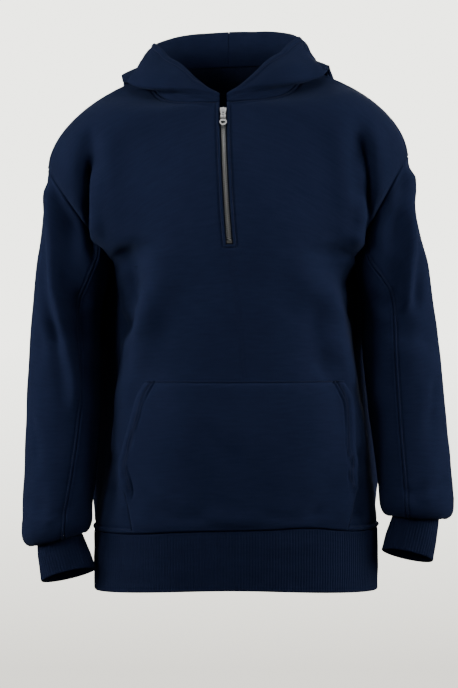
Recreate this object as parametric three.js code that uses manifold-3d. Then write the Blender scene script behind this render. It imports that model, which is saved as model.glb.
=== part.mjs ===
// A heavy half-zip hooded sweatshirt in its worn form: front and back panels with dropped shoulders, two-piece
// sleeves that bag over ribbed cuffs, a ribbed hem band, a kangaroo pocket, a lined hood lying down on the
// shoulders, and a short metal zip. Units are millimetres, +Z is up, the front faces -Y, and the wearer's left
// arm is at +X. The origin is between the two shoulder points at the side of the neck.
import * as THREE from "three";
import { mergeVertices } from "three/addons/utils/BufferGeometryUtils.js";
import Module from "manifold-3d";

const manifold = await Module();
manifold.setup();

// ---------------------------------------------------------------- driving dimensions
const WALL = 2.6; // brushed fleece, one layer
const HOOD_WALL = 5; // the hood is two layers sewn back to back
const SEAM_GAP = 0.4; // between the edges of two panels
const RIB_SPACING = 6; // one rib and its furrow
const RIB_RISE = 0.9;
const ZIP_LENGTH = 197;
const SLIT_HALF = 5; // half the width between the two fabric edges at the zip
const NECK_HALF = 104; // half the neck width at the shoulder seams
const NECK_DROP = 57; // centre front neck below the shoulder points
const NECK_FRONT = 90; // centre front neck ahead of the shoulder points
const NECK_SCOOP = 1.7; // how long the neckline stays low before it climbs to the shoulder seam
const NECK_BACK = 78;
const NECK_BACK_RISE = 10;
const BACK_STRIP = 12; // half the width of the plain strip at centre back
const HEM_SEAM_Z = -646; // the seam above the hem band
const HEM_END_Z = -729; // the hem band's lower edge
const HEM_LIFT = { front: 6, back: 0 }; // how much higher the seam is at the centre
const HEM_END_LIFT = { front: 8, back: 4 };
const BACK_TURN_Z = -262; // centre back height of the row that ends at the underarm
const NECK_FULL = 14; // how far the chest swells below the shoulders
const ROW_DROOP = 1.6; // how late a sloping row leaves the height of its centre

// The shoulder seam: where it starts at the neck, and how much of its fall is a round end and not a slope.
const SHOULDER_START_Z = -4;
const SHOULDER_ROUND = 0.58;
const ROUND_POWER = 2.6;

// The shoulder tip and the underarm point of the armhole, on the wearer's left.
const SHOULDER_TIP = { x: 252, y: 4, z: -134 };
const UNDERARM = { x: 166, y: 4, z: -272 };

// How far the armhole has climbed from the underarm to the tip at each angle, and how far it reaches ahead of
// the line between them, and behind.
const ARMHOLE = [
  { angle: 0, climb: 0, front: 0, back: 0 },
  { angle: 30, climb: 0.05, front: 31, back: 34 },
  { angle: 60, climb: 0.2, front: 49, back: 57 },
  { angle: 90, climb: 0.44, front: 59, back: 69 },
  { angle: 120, climb: 0.7, front: 60, back: 68 },
  { angle: 150, climb: 0.91, front: 38, back: 44 },
  { angle: 180, climb: 1, front: 0, back: 0 },
];

const SIDE_ROWS = 11; // rows from the hem seam up to the underarm
const ARMHOLE_ANGLES = [0, 13, 27, 42, 57, 72, 87, 102, 116, 124, 132, 140, 148, 156, 164, 172, 180];
const NECK_ROW = 8; // the row of that list that starts at the centre of the neck
const NECK_STEPS = 8; // steps from there round to the shoulder seam
const SEAM_STEP = 4; // where the sleeve's two seams start on the armhole
const HALF_COLUMNS = 10;

// The hanging body, a row for each level: half the width at the side seams, and how far the centre front and
// centre back stand out. square is the superellipse power of the section.
const BODY = [
  { z: -730, halfWidth: 196, front: 138, back: 124, square: 2.5 },
  { z: -648, halfWidth: 198, front: 142, back: 127, square: 2.5 },
  { z: -590, halfWidth: 190, front: 147, back: 132, square: 2.5 },
  { z: -530, halfWidth: 180, front: 149, back: 133, square: 2.5 },
  { z: -466, halfWidth: 170, front: 149, back: 132, square: 2.5 },
  { z: -396, halfWidth: 163, front: 149, back: 130, square: 2.45 },
  { z: -330, halfWidth: 165, front: 151, back: 130, square: 2.4 },
  { z: -272, halfWidth: 166, front: 152, back: 131, square: 2.35 },
  { z: -210, halfWidth: 166, front: 147, back: 131, square: 2.3 },
  { z: -150, halfWidth: 166, front: 131, back: 126, square: 2.2 },
  { z: -100, halfWidth: 166, front: 111, back: 117, square: 2.1 },
  { z: -53, halfWidth: 166, front: 90, back: 105, square: 2.0 },
  { z: 12, halfWidth: 166, front: 60, back: 78, square: 2.0 },
];

// The back hangs wider than the side seams, out behind the arms: how far on each side, and by how much the power
// of its section rises there.
const BACK_HANG = [
  { z: -640, right: 0, left: 0, square: 0 },
  { z: -622, right: 22, left: 24, square: 0.5 },
  { z: -600, right: 41, left: 44, square: 1.1 },
  { z: -566, right: 49, left: 52, square: 1.5 },
  { z: -530, right: 52, left: 51, square: 1.6 },
  { z: -466, right: 62, left: 53, square: 1.6 },
  { z: -396, right: 70, left: 55, square: 1.6 },
  { z: -330, right: 58, left: 56, square: 1.6 },
  { z: -290, right: 30, left: 32, square: 1 },
  { z: -262, right: 10, left: 12, square: 0.4 },
  { z: -240, right: 2, left: 3, square: 0.1 },
  { z: -222, right: 0, left: 0, square: 0 },
];

// How the wearer's stance shifts each level: sideways, by a turn about the upright axis, and by a tilt that
// lifts the +X side.
const STANCE = [
  { z: -730, shift: 10, turn: 3, tilt: 0 },
  { z: -648, shift: 11, turn: 3, tilt: 0 },
  { z: -530, shift: 15, turn: 3, tilt: 0 },
  { z: -440, shift: 14, turn: 3, tilt: 0 },
  { z: -330, shift: 9, turn: 1, tilt: 0.008 },
  { z: -256, shift: 5, turn: -1, tilt: 0.018 },
  { z: -150, shift: 0, turn: -2, tilt: 0.032 },
  { z: -53, shift: -2, turn: -3, tilt: 0.036 },
  { z: 60, shift: -3, turn: -3, tilt: 0.04 },
];

// The hem seam's waves, a row for each crest and hollow: the angle round the body from centre front towards +X,
// and how far the seam is lifted there.
const HEM_WAVES = [
  { angle: -180, lift: 0 },
  { angle: -140, lift: 2.5 },
  { angle: -100, lift: -1 },
  { angle: -72, lift: 3 },
  { angle: -48, lift: -2 },
  { angle: -20, lift: 0.5 },
  { angle: 4, lift: 1 },
  { angle: 24, lift: 7 },
  { angle: 52, lift: -1.5 },
  { angle: 85, lift: 4 },
  { angle: 120, lift: -1 },
  { angle: 150, lift: 2 },
  { angle: 180, lift: 0 },
];

// The largest folds of the body, a row each: where the fold's line starts and ends in the front view, how deep
// it is (a ridge is negative), and how wide. on says which panel.
const FOLDS = [
  { on: "front", x0: -182, z0: -70, x1: -190, z1: -232, depth: 15, width: 13 },
  { on: "front", x0: 182, z0: -70, x1: 188, z1: -232, depth: 15, width: 13 },
  { on: "front", x0: -132, z0: -235, x1: -136, z1: -335, depth: 15, width: 20 },
  { on: "front", x0: 132, z0: -250, x1: 140, z1: -325, depth: 9, width: 20 },
  { on: "front", x0: -100, z0: -262, x1: -140, z1: -440, depth: -8, width: 24 },
  { on: "front", x0: 104, z0: -262, x1: 142, z1: -440, depth: -8, width: 24 },
  { on: "back", x0: -178, z0: -90, x1: -184, z1: -240, depth: 13, width: 14 },
  { on: "back", x0: 178, z0: -90, x1: 184, z1: -240, depth: 13, width: 14 },
  { on: "back", x0: -96, z0: -270, x1: -118, z1: -520, depth: -8, width: 34 },
  { on: "back", x0: 96, z0: -270, x1: 118, z1: -520, depth: -8, width: 34 },
  { on: "back", x0: -30, z0: -420, x1: 20, z1: -600, depth: 6, width: 36 },
];

// The two sleeves, a row for each ring from the armhole to the cuff: where the ring crosses the outer and the
// inner side in the front view, its middle's y, and how far it stands ahead of that and behind.
const SLEEVES = {
  right: [
    { t: 0, outerX: -252, outerZ: -134, innerX: -166, innerZ: -272, y: 12, front: 58, back: 66 },
    { t: 0.06, outerX: -256, outerZ: -172, innerX: -171, innerZ: -297, y: 11, front: 66, back: 69 },
    { t: 0.14, outerX: -261, outerZ: -220, innerX: -176, innerZ: -322, y: 9, front: 70, back: 70 },
    { t: 0.24, outerX: -269, outerZ: -284, innerX: -178, innerZ: -354, y: 6, front: 68, back: 68 },
    { t: 0.36, outerX: -276, outerZ: -360, innerX: -177, innerZ: -398, y: 2, front: 65, back: 66 },
    { t: 0.48, outerX: -280, outerZ: -436, innerX: -177, innerZ: -452, y: -4, front: 62, back: 64 },
    { t: 0.6, outerX: -282, outerZ: -509, innerX: -178, innerZ: -509, y: -17, front: 60, back: 62 },
    { t: 0.72, outerX: -283, outerZ: -576, innerX: -182, innerZ: -566, y: -33, front: 58, back: 59 },
    { t: 0.82, outerX: -284, outerZ: -625, innerX: -187, innerZ: -609, y: -46, front: 56, back: 56 },
    { t: 0.9, outerX: -285, outerZ: -648, innerX: -187, innerZ: -631, y: -51, front: 54, back: 54 },
    { t: 0.94, outerX: -282, outerZ: -660, innerX: -190, innerZ: -641, y: -53, front: 49, back: 49 },
    { t: 0.97, outerX: -275, outerZ: -666, innerX: -194, innerZ: -646, y: -54, front: 42, back: 42 },
    { t: 1, outerX: -266, outerZ: -665, innerX: -199, innerZ: -646, y: -54, front: 34, back: 34 },
  ],
  left: [
    { t: 0, outerX: 252, outerZ: -134, innerX: 166, innerZ: -272, y: -4, front: 58, back: 66 },
    { t: 0.06, outerX: 257, outerZ: -172, innerX: 175, innerZ: -297, y: -5, front: 66, back: 69 },
    { t: 0.14, outerX: 267, outerZ: -220, innerX: 184, innerZ: -322, y: -6, front: 70, back: 70 },
    { t: 0.24, outerX: 281, outerZ: -284, innerX: 188, innerZ: -354, y: -9, front: 68, back: 68 },
    { t: 0.36, outerX: 291, outerZ: -356, innerX: 187, innerZ: -394, y: -12, front: 65, back: 66 },
    { t: 0.48, outerX: 298, outerZ: -426, innerX: 191, innerZ: -442, y: -17, front: 62, back: 64 },
    { t: 0.6, outerX: 303, outerZ: -493, innerX: 197, innerZ: -493, y: -25, front: 60, back: 62 },
    { t: 0.72, outerX: 308, outerZ: -552, innerX: 203, innerZ: -544, y: -38, front: 58, back: 59 },
    { t: 0.82, outerX: 311, outerZ: -591, innerX: 207, innerZ: -587, y: -49, front: 56, back: 56 },
    { t: 0.9, outerX: 311, outerZ: -611, innerX: 209, innerZ: -607, y: -54, front: 54, back: 54 },
    { t: 0.94, outerX: 309, outerZ: -622, innerX: 212, innerZ: -617, y: -56, front: 49, back: 49 },
    { t: 0.97, outerX: 303, outerZ: -628, innerX: 217, innerZ: -623, y: -56, front: 42, back: 42 },
    { t: 1, outerX: 294, outerZ: -627, innerX: 224, innerZ: -623, y: -56, front: 34, back: 34 },
  ],
};
const SLEEVE_RINGS = [
  0, 0.03, 0.07, 0.12, 0.18, 0.24, 0.31, 0.39, 0.47, 0.55, 0.63, 0.71, 0.78, 0.85, 0.9, 0.935, 0.965, 1,
];

// Where the sleeve's two seams run, as degrees round from the inner side.
const SLEEVE_SEAMS = [
  { t: 0, right: 57, left: 57 },
  { t: 0.12, right: 58, left: 70 },
  { t: 0.25, right: 60, left: 79 },
  { t: 0.5, right: 60, left: 76 },
  { t: 0.7, right: 68, left: 72 },
  { t: 0.85, right: 74, left: 70 },
  { t: 1, right: 76, left: 70 },
];

// Each cuff's lower edge, as a sleeve ring whose front is lifted.
const CUFF_ENDS = {
  right: { outerX: -257, outerZ: -715, innerX: -181, innerZ: -697, y: -62, front: 29, back: 29, frontLift: 8 },
  left: { outerX: 282, outerZ: -687, innerX: 211, innerZ: -671, y: -63, front: 29, back: 29, frontLift: 8 },
};

// The sleeve's long soft creases: the angle and place of each end, how deep (a ridge is negative), and how wide
// in degrees.
const SLEEVE_FOLDS = [
  { angle0: 172, t0: 0.02, angle1: 118, t1: 0.62, depth: -5, width: 15 },
  { angle0: 150, t0: 0.06, angle1: 96, t1: 0.5, depth: 4, width: 15 },
  { angle0: 200, t0: 0.05, angle1: 240, t1: 0.55, depth: -4, width: 18 },
  { angle0: 60, t0: 0.3, angle1: 150, t1: 0.42, depth: 3, width: 14 },
  { angle0: 215, t0: 0.44, angle1: 300, t1: 0.38, depth: 4, width: 16 },
  { angle0: 70, t0: 0.84, angle1: 150, t1: 0.76, depth: 3, width: 13 },
  { angle0: 230, t0: 0.72, angle1: 290, t1: 0.8, depth: 3, width: 15 },
];

// The hood lying down, a row for each bearing from centre front (0) to centre back (180). O columns are the
// distance out from the neck seam and Z columns the height of the stand, its fold and crest, the way down, the
// lower fold's tuck and roll, the outer face, and the rim of the opening, which stands at its own bearing.
const HOOD = [
  { at: 0, standO: -0.5, standZ: -55, foldO: -1, foldZ: -53.5, crestO: -1, crestZ: -52, downO: -1.2, downZ: -51,
    tuckO: -1.5, tuckZ: -50, rollO: -2, rollZ: -48.5, faceO: -2.5, faceZ: -47, rimO: -3, rimZ: -45, rimAt: 5 },
  { at: 20, standO: 0.5, standZ: -52.5, foldO: 1, foldZ: -49.5, crestO: 1.5, crestZ: -47, downO: 1.5, downZ: -45,
    tuckO: 2.5, tuckZ: -41, rollO: 3, rollZ: -37, faceO: -3, faceZ: -31, rimO: -11, rimZ: -23, rimAt: 22 },
  { at: 40, standO: 0, standZ: -49, foldO: -1.5, foldZ: -44, crestO: -1, crestZ: -41, downO: 2, downZ: -39,
    tuckO: 8, tuckZ: -38, rollO: 12, rollZ: -32, faceO: 4, faceZ: -16, rimO: -17, rimZ: 1, rimAt: 42 },
  { at: 60, standO: -1, standZ: -37, foldO: -2, foldZ: -30, crestO: 1, crestZ: -27, downO: 7, downZ: -29,
    tuckO: 15, tuckZ: -33, rollO: 25, rollZ: -28, faceO: 13, faceZ: -6, rimO: -16, rimZ: 15, rimAt: 62 },
  { at: 75, standO: -1, standZ: -17, foldO: -1, foldZ: -7, crestO: 3, crestZ: -3, downO: 12, downZ: -12,
    tuckO: 23, tuckZ: -23, rollO: 34, rollZ: -20, faceO: 18, faceZ: 1, rimO: -13, rimZ: 28, rimAt: 76 },
  { at: 90, standO: -2, standZ: 5, foldO: 0, foldZ: 13, crestO: 6, crestZ: 15, downO: 15, downZ: 2,
    tuckO: 27, tuckZ: -11, rollO: 38, rollZ: -11, faceO: 17, faceZ: 8, rimO: -3, rimZ: 39, rimAt: 96 },
  { at: 105, standO: -3, standZ: 12, foldO: -1, foldZ: 26, crestO: 8, crestZ: 28, downO: 18, downZ: 5,
    tuckO: 30, tuckZ: -16, rollO: 42, rollZ: -16, faceO: 20, faceZ: 9, rimO: 5, rimZ: 40, rimAt: 108 },
  { at: 120, standO: -4, standZ: 20, foldO: -1, foldZ: 36, crestO: 9, crestZ: 37, downO: 22, downZ: 4,
    tuckO: 38, tuckZ: -42, rollO: 54, rollZ: -40, faceO: 36, faceZ: 0, rimO: 18, rimZ: 38, rimAt: 124 },
  { at: 140, standO: -5, standZ: 26, foldO: -1, foldZ: 44, crestO: 10, crestZ: 45, downO: 26, downZ: -4,
    tuckO: 50, tuckZ: -82, rollO: 72, rollZ: -80, faceO: 66, faceZ: -16, rimO: 36, rimZ: 35, rimAt: 142 },
  { at: 160, standO: -5, standZ: 29, foldO: -1, foldZ: 48, crestO: 11, crestZ: 48, downO: 28, downZ: -10,
    tuckO: 58, tuckZ: -115, rollO: 90, rollZ: -112, faceO: 94, faceZ: -30, rimO: 54, rimZ: 31, rimAt: 161 },
  { at: 180, standO: -5, standZ: 30, foldO: -1, foldZ: 49, crestO: 11, crestZ: 49, downO: 28, downZ: -12,
    tuckO: 60, tuckZ: -138, rollO: 96, rollZ: -134, faceO: 102, faceZ: -40, rimO: 60, rimZ: 30, rimAt: 180 },
];
const HOOD_TURNS = ["stand", "fold", "crest", "down", "tuck", "roll", "face", "rim"];
const HOOD_STEPS = 2; // rows between two turns of the profile
const HOOD_START_AT = 2.7; // bearing of the hood's front corner, beside the zip
const HOOD_STRIP_AT = 173.4; // bearing of the edge of the strip at centre back
const HOOD_CLEAR = 10; // the least the hood stands off the shoulders and back

// The pocket's two side edges in the front view, a row for each height, and where each side stops being sewn.
const POCKET = [
  { z: -640, left: -131, right: 164 },
  { z: -591, left: -140, right: 173 },
  { z: -561, left: -142, right: 169 },
  { z: -525, left: -133, right: 166 },
  { z: -495, left: -125, right: 165.5 },
  { z: -466, left: -118, right: 164 },
  { z: -437.5, left: -111.5, right: 157 },
];
const POCKET_FOOT = 1.2; // between the pocket and the hem seam
const POCKET_CROWN = 1.6; // how much further the middle of the pocket stands off
const CUFF_RIBS = 2; // ribs between two columns of a sleeve
const RIB_START = 3; // how far below its seam a rib is fully raised
const TUBE_GAP = 0.5; // between a ribbed tube and the pieces above it
const CUFF_TUCK = 3.2; // how far the cuff's upper edge sits inside the sleeve's end
const POCKET_LIFT = 2.2; // the turned-in seam allowance between the patch and the front
const POCKET_ROWS = 10;
const POCKET_COLUMNS = 12;

const TAPE_HALF = 14;
const TAPE_THICK = 1;
const TAPE_BEHIND = WALL + 1.4; // below the front panel's face
const CHAIN_HALF = 3;
const CHAIN_THICK = 2.2;
const SLIDER_Z = -71; // middle of the slider
const BAR_OUT = 2.85; // the pull's bar under the slider's crown, out from the panel's face and up
const BAR_UP = 0.4;
const RING_Z = -18.6; // the ring's centre below the slider's middle
const CROWN_FOOT = -3.6; // the crown's lower end, inside the circle that the pull's link swings on

// ---------------------------------------------------------------- small helpers
const RAD = Math.PI / 180;
const clamp = (x, low, high) => Math.min(high, Math.max(low, x));
const mix = (a, b, t) => a + (b - a) * t;
const ease = (t) => {
  const c = clamp(t, 0, 1);
  return c * c * (3 - 2 * c);
};
const point = (x, y, z) => new THREE.Vector3(x, y, z);

// A smooth curve through one named column of a table whose key column rises from row to row.
function column(table, key, name) {
  const keys = table.map((row) => row[key]);
  const values = table.map((row) => row[name]);
  const slopes = keys.map((_, i) => {
    const a = Math.max(i - 1, 0);
    const b = Math.min(i + 1, keys.length - 1);
    return (values[b] - values[a]) / (keys[b] - keys[a]);
  });
  return (at) => {
    let i = 0;
    while (i < keys.length - 2 && at > keys[i + 1]) i++;
    const span = keys[i + 1] - keys[i];
    const t = clamp((at - keys[i]) / span, 0, 1);
    const t2 = t * t;
    const t3 = t2 * t;
    return (
      (2 * t3 - 3 * t2 + 1) * values[i] +
      (t3 - 2 * t2 + t) * span * slopes[i] +
      (3 * t2 - 2 * t3) * values[i + 1] +
      (t3 - t2) * span * slopes[i + 1]
    );
  };
}

// Every other column of such a table, each as a curve.
function curves(table, key) {
  const names = Object.keys(table[0]).filter((name) => name !== key);
  return Object.fromEntries(names.map((name) => [name, column(table, key, name)]));
}

const body = curves(BODY, "z");
const backHang = curves(BACK_HANG, "z");
const stance = curves(STANCE, "z");
const hemWave = curves(HEM_WAVES, "angle").lift;
const armholeCurve = curves(ARMHOLE, "angle");
const seamCurve = curves(SLEEVE_SEAMS, "t");

// Moves a point of the evenly standing garment to where the wearer's stance puts it.
function stand(p) {
  const turn = stance.turn(p.z) * RAD;
  const x = p.x * Math.cos(turn) - p.y * Math.sin(turn) + stance.shift(p.z);
  const y = p.x * Math.sin(turn) + p.y * Math.cos(turn);
  return point(x, y, p.z + stance.tilt(p.z) * p.x);
}

// ---------------------------------------------------------------- the armhole
// side is +1 on the wearer's left. The angle runs from the underarm (0) over the front (90) to the shoulder
// tip (180) and down the back (270).
function armhole(side, angle) {
  const behind = angle > 180;
  const turned = behind ? 360 - angle : angle;
  const climb = armholeCurve.climb(turned);
  return point(
    side * mix(UNDERARM.x, SHOULDER_TIP.x, climb),
    UNDERARM.y + (behind ? armholeCurve.back(turned) : -armholeCurve.front(turned)),
    mix(UNDERARM.z, SHOULDER_TIP.z, climb),
  );
}

// ---------------------------------------------------------------- body panels
const sideOf = (face) => (face < 0 ? "front" : "back");

function hemSeam(face, angle) {
  return HEM_SEAM_Z + HEM_LIFT[sideOf(face)] * Math.cos(angle * RAD) ** 2 + hemWave(angle);
}

// One row of a panel, from the centre (s = 0) to its outer end (s = 1). face is -1 for the front, +1 for the
// back. full swells the middle of a sloping row.
function sectionPoint(face, side, s, strip, centreZ, outer, full) {
  const depth = face * (face < 0 ? body.front(centreZ) : body.back(centreZ));
  const power = 2 / (body.square(centreZ) + (face < 0 ? 0 : backHang.square(outer.z)));
  const innermost = strip / Math.abs(outer.x);
  const angle = mix(Math.asin(innermost ** (1 / power)), Math.PI / 2, s);
  const across = Math.sin(angle) ** power;
  const away = Math.cos(angle) ** power;
  const hang = face < 0 ? 0 : (side < 0 ? backHang.right(outer.z) : backHang.left(outer.z));
  return point(
    outer.x * across + side * hang * away * (across - innermost),
    mix(outer.y, depth, away) + face * full * Math.sin(2 * angle),
    mix(centreZ, outer.z, across ** ROW_DROOP),
  );
}

function sideSeam(side, z) {
  return point(side * body.halfWidth(z), UNDERARM.y, z);
}

// The half panel as rows of points, from the hem seam up to the shoulder seam.
function halfPanel(face, side) {
  const strip = face < 0 ? SLIT_HALF : BACK_STRIP;
  const neckZ = face < 0 ? -NECK_DROP : NECK_BACK_RISE;
  const turnZ = face < 0 ? -NECK_DROP - ZIP_LENGTH : BACK_TURN_Z;
  const neckDepth = face * (face < 0 ? NECK_FRONT : NECK_BACK);
  const rows = [];
  const columns = [...Array(HALF_COLUMNS + 1).keys()].map((c) => c / HALF_COLUMNS);
  for (let r = 0; r <= SIDE_ROWS; r++) {
    const t = r / SIDE_ROWS;
    rows.push(
      columns.map((s) => {
        const bottom = hemSeam(face, side * (face < 0 ? 90 * s : 180 - 90 * s));
        const centreZ = mix(bottom, turnZ, t);
        const outer = sideSeam(side, mix(hemSeam(face, side * 90), UNDERARM.z, t));
        return sectionPoint(face, side, s, strip, centreZ, outer, 0);
      }),
    );
  }
  for (let r = 1; r <= NECK_ROW; r++) {
    const t = r / NECK_ROW;
    const angle = ARMHOLE_ANGLES[r];
    const outer = armhole(side, face < 0 ? angle : 360 - angle);
    rows.push(
      columns.map((s) =>
        sectionPoint(face, side, s, strip, mix(turnZ, neckZ, t), outer, NECK_FULL * t * t),
      ),
    );
  }
  const chest = rows[rows.length - 1];
  chest[0].y = neckDepth;
  for (let r = NECK_ROW + 1; r < ARMHOLE_ANGLES.length; r++) {
    const angle = ARMHOLE_ANGLES[r];
    const start = ARMHOLE_ANGLES[NECK_ROW];
    const turned = ((angle - start) / (180 - start)) * (Math.PI / 2);
    const up = Math.sin(turned);
    const out = Math.cos(turned);
    rows.push(
      columns.map((s, c) => {
        if (c === HALF_COLUMNS) return armhole(side, face < 0 ? angle : 360 - angle);
        const top = shoulderSeam(side, s);
        const low = chest[c];
        const rise = mix((1 - out) ** NECK_SCOOP, up, ease(s / 0.35));
        return point(mix(low.x, top.x, up), mix(top.y, low.y, out), mix(low.z, top.z, rise));
      }),
    );
  }
  return rows;
}

// The shoulder seam runs from the side of the neck over the shoulder's roundness to the armhole's tip.
function shoulderSeam(side, s) {
  const x = mix(NECK_HALF, SHOULDER_TIP.x, Math.sin((s * Math.PI) / 2) ** 0.9);
  const drop = (x - NECK_HALF) / (SHOULDER_TIP.x - NECK_HALF);
  const rounded = 1 - Math.sqrt(1 - drop ** ROUND_POWER);
  const fallen = mix(drop, rounded, SHOULDER_ROUND);
  return point(side * x, SHOULDER_TIP.y * s, mix(SHOULDER_START_Z, SHOULDER_TIP.z, fallen));
}

// How far the folds push a panel's surface back towards the body at a point.
function foldDepth(on, p) {
  let depth = 0;
  for (const fold of FOLDS) {
    if (fold.on !== on) continue;
    const dx = fold.x1 - fold.x0;
    const dz = fold.z1 - fold.z0;
    const along = ((p.x - fold.x0) * dx + (p.z - fold.z0) * dz) / (dx * dx + dz * dz);
    const t = clamp(along, 0, 1);
    const away = Math.hypot(p.x - fold.x0 - t * dx, p.z - fold.z0 - t * dz);
    const fade = ease(t / 0.3) * ease((1 - t) / 0.25);
    depth += fold.depth * Math.exp(-((away / fold.width) ** 2)) * fade;
  }
  return depth;
}

// Evens out the rows between a panel's edges.
function relax(rows, passes) {
  for (let pass = 0; pass < passes; pass++) {
    const before = rows.map((row) => row.map((p) => p.clone()));
    for (let r = 1; r < rows.length - 1; r++) {
      for (let c = 1; c < rows[r].length - 1; c++) {
        const around = before[r - 1][c]
          .clone()
          .add(before[r + 1][c])
          .add(before[r][c - 1])
          .add(before[r][c + 1])
          .multiplyScalar(0.25);
        rows[r][c].lerp(around, 0.5);
      }
    }
  }
  return rows;
}

// A whole panel: the two halves and the strip between them, in the wearer's stance.
function panelGrid(face) {
  const on = sideOf(face);
  const halves = [-1, 1].map((side) => relax(halfPanel(face, side), 2));
  return halves[0].map((left, r) => {
    const right = halves[1][r];
    const middle = left[0].clone().add(right[0]).multiplyScalar(0.5);
    const row = [...left.slice().reverse(), middle, ...right];
    return row.map((p, c) => {
      const edge = c === 0 || c === row.length - 1 || r === 0;
      const pushed = edge ? 0 : foldDepth(on, p);
      return stand(point(p.x, p.y - face * pushed, p.z));
    });
  });
}

const GRID_COLUMNS = 2 * HALF_COLUMNS + 3;
const MIDDLE = HALF_COLUMNS + 1; // the column on the centre line

// ---------------------------------------------------------------- walls from grids
// A sheet is rows of points and the list of its quads, each with its corners anticlockwise seen from outside.
function sheet(name, rows, { wrap = false, keep = () => true, flip = false } = {}) {
  const points = [];
  const index = rows.map((row) =>
    row.map((p) => {
      points.push(p);
      return points.length - 1;
    }),
  );
  const quads = [];
  const across = rows[0].length - (wrap ? 0 : 1);
  for (let r = 0; r < rows.length - 1; r++) {
    for (let c = 0; c < across; c++) {
      if (!keep(r, c)) continue;
      const d = (c + 1) % rows[0].length;
      const quad = [index[r][c], index[r][d], index[r + 1][d], index[r + 1][c]];
      quads.push(flip ? quad.reverse() : quad);
    }
  }
  return { name, points, quads };
}

const keyOf = (p) => [p.x, p.y, p.z].map((v) => Math.round(v * 50)).join();

// The outward direction at each point, shared by the sheets that meet there.
function addNormals(sheets) {
  const sums = new Map();
  for (const s of sheets) {
    for (const [a, b, c, d] of s.quads) {
      const diagonal1 = s.points[c].clone().sub(s.points[a]);
      const diagonal2 = s.points[d].clone().sub(s.points[b]);
      const normal = diagonal1.cross(diagonal2);
      for (const i of [a, b, c, d]) {
        const key = keyOf(s.points[i]);
        if (!sums.has(key)) sums.set(key, point(0, 0, 0));
        sums.get(key).add(normal);
      }
    }
  }
  for (const s of sheets) {
    s.normals = s.points.map((p) => (sums.get(keyOf(p)) ?? point(0, 0, 1)).clone().normalize());
  }
}

// The sheet's boundary as directed edges.
function rimOf(quads) {
  const seen = new Set();
  for (const quad of quads) quad.forEach((a, i) => seen.add(a + "_" + quad[(i + 1) % 4]));
  const rim = [];
  for (const quad of quads) {
    quad.forEach((a, i) => {
      const b = quad[(i + 1) % 4];
      if (!seen.has(b + "_" + a)) rim.push([a, b]);
    });
  }
  return rim;
}

// Draws the sheet's edges in by half a seam gap, along the surface.
function trimEdges(s, gap) {
  const rim = rimOf(s.quads);
  const onRim = new Set(rim.flat());
  const pull = new Map();
  for (const [a, b] of rim) {
    const along = s.points[b].clone().sub(s.points[a]).normalize();
    for (const i of [a, b]) {
      const inward = s.normals[i].clone().cross(along);
      if (!pull.has(i)) pull.set(i, []);
      pull.get(i).push(inward.normalize());
    }
  }
  const moved = s.points.map((p) => p.clone());
  for (const i of onRim) {
    const [first, second = first] = pull.get(i);
    const sum = first.clone().add(second);
    const scale = clamp(2 / Math.max(sum.lengthSq(), 0.4), 0.5, 2);
    moved[i].addScaledVector(sum, (gap / 2) * scale);
  }
  s.points = moved;
}

// The solid wall behind a sheet: its points, the same points moved in by the thickness, and the rims.
function wall(s, thickness, colour, gap = SEAM_GAP) {
  if (gap) trimEdges(s, gap);
  const count = s.points.length;
  const position = new Float32Array(count * 6);
  s.points.forEach((p, i) => {
    const inner = p.clone().addScaledVector(s.normals[i], -thickness);
    position.set([p.x, p.y, p.z], i * 3);
    position.set([inner.x, inner.y, inner.z], (count + i) * 3);
  });
  const triangles = [];
  const add = (a, b, c) => triangles.push(a, b, c);
  for (const [a, b, c, d] of s.quads) {
    add(a, b, c);
    add(a, c, d);
    add(count + a, count + c, count + b);
    add(count + a, count + d, count + c);
  }
  for (const [a, b] of rimOf(s.quads)) {
    add(b, a, count + a);
    add(b, count + a, count + b);
  }
  return mesh(s.name, position, triangles, colour);
}

function mesh(name, position, triangles, { colour, roughness = 0.9, metalness = 0 }) {
  const remap = new Map();
  const kept = [];
  const index = triangles.map((i) => {
    if (!remap.has(i)) {
      remap.set(i, remap.size);
      kept.push(position[3 * i], position[3 * i + 1], position[3 * i + 2]);
    }
    return remap.get(i);
  });
  const geometry = new THREE.BufferGeometry();
  geometry.setAttribute("position", new THREE.Float32BufferAttribute(kept, 3));
  geometry.setIndex(index);
  geometry.computeVertexNormals();
  const made = new THREE.Mesh(
    geometry,
    new THREE.MeshStandardMaterial({ color: colour, roughness, metalness }),
  );
  made.name = name;
  return made;
}

const NAVY = { colour: 0x101c33, roughness: 0.95 };
const NAVY_RIB = { colour: 0x0d172c, roughness: 0.95 };
const TAPE = { colour: 0x0c1426, roughness: 0.8 };
const METAL = { colour: 0xb9bcc0, roughness: 0.3, metalness: 1 };

// The smooth curve through points at even steps; t counts the points.
function through(points, t) {
  const i = clamp(Math.floor(t), 0, points.length - 2);
  const u = t - i;
  const b = points[i];
  const c = points[i + 1];
  const a = points[i - 1] ?? b.clone().multiplyScalar(2).sub(c);
  const d = points[i + 2] ?? c.clone().multiplyScalar(2).sub(b);
  const blend = (p, q, r, v) =>
    0.5 * (2 * q + (r - p) * u + (2 * p - 5 * q + 4 * r - v) * u * u + (3 * q - p - 3 * r + v) * u * u * u);
  return point(blend(a.x, b.x, c.x, d.x), blend(a.y, b.y, c.y, d.y), blend(a.z, b.z, c.z, d.z));
}

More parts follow.
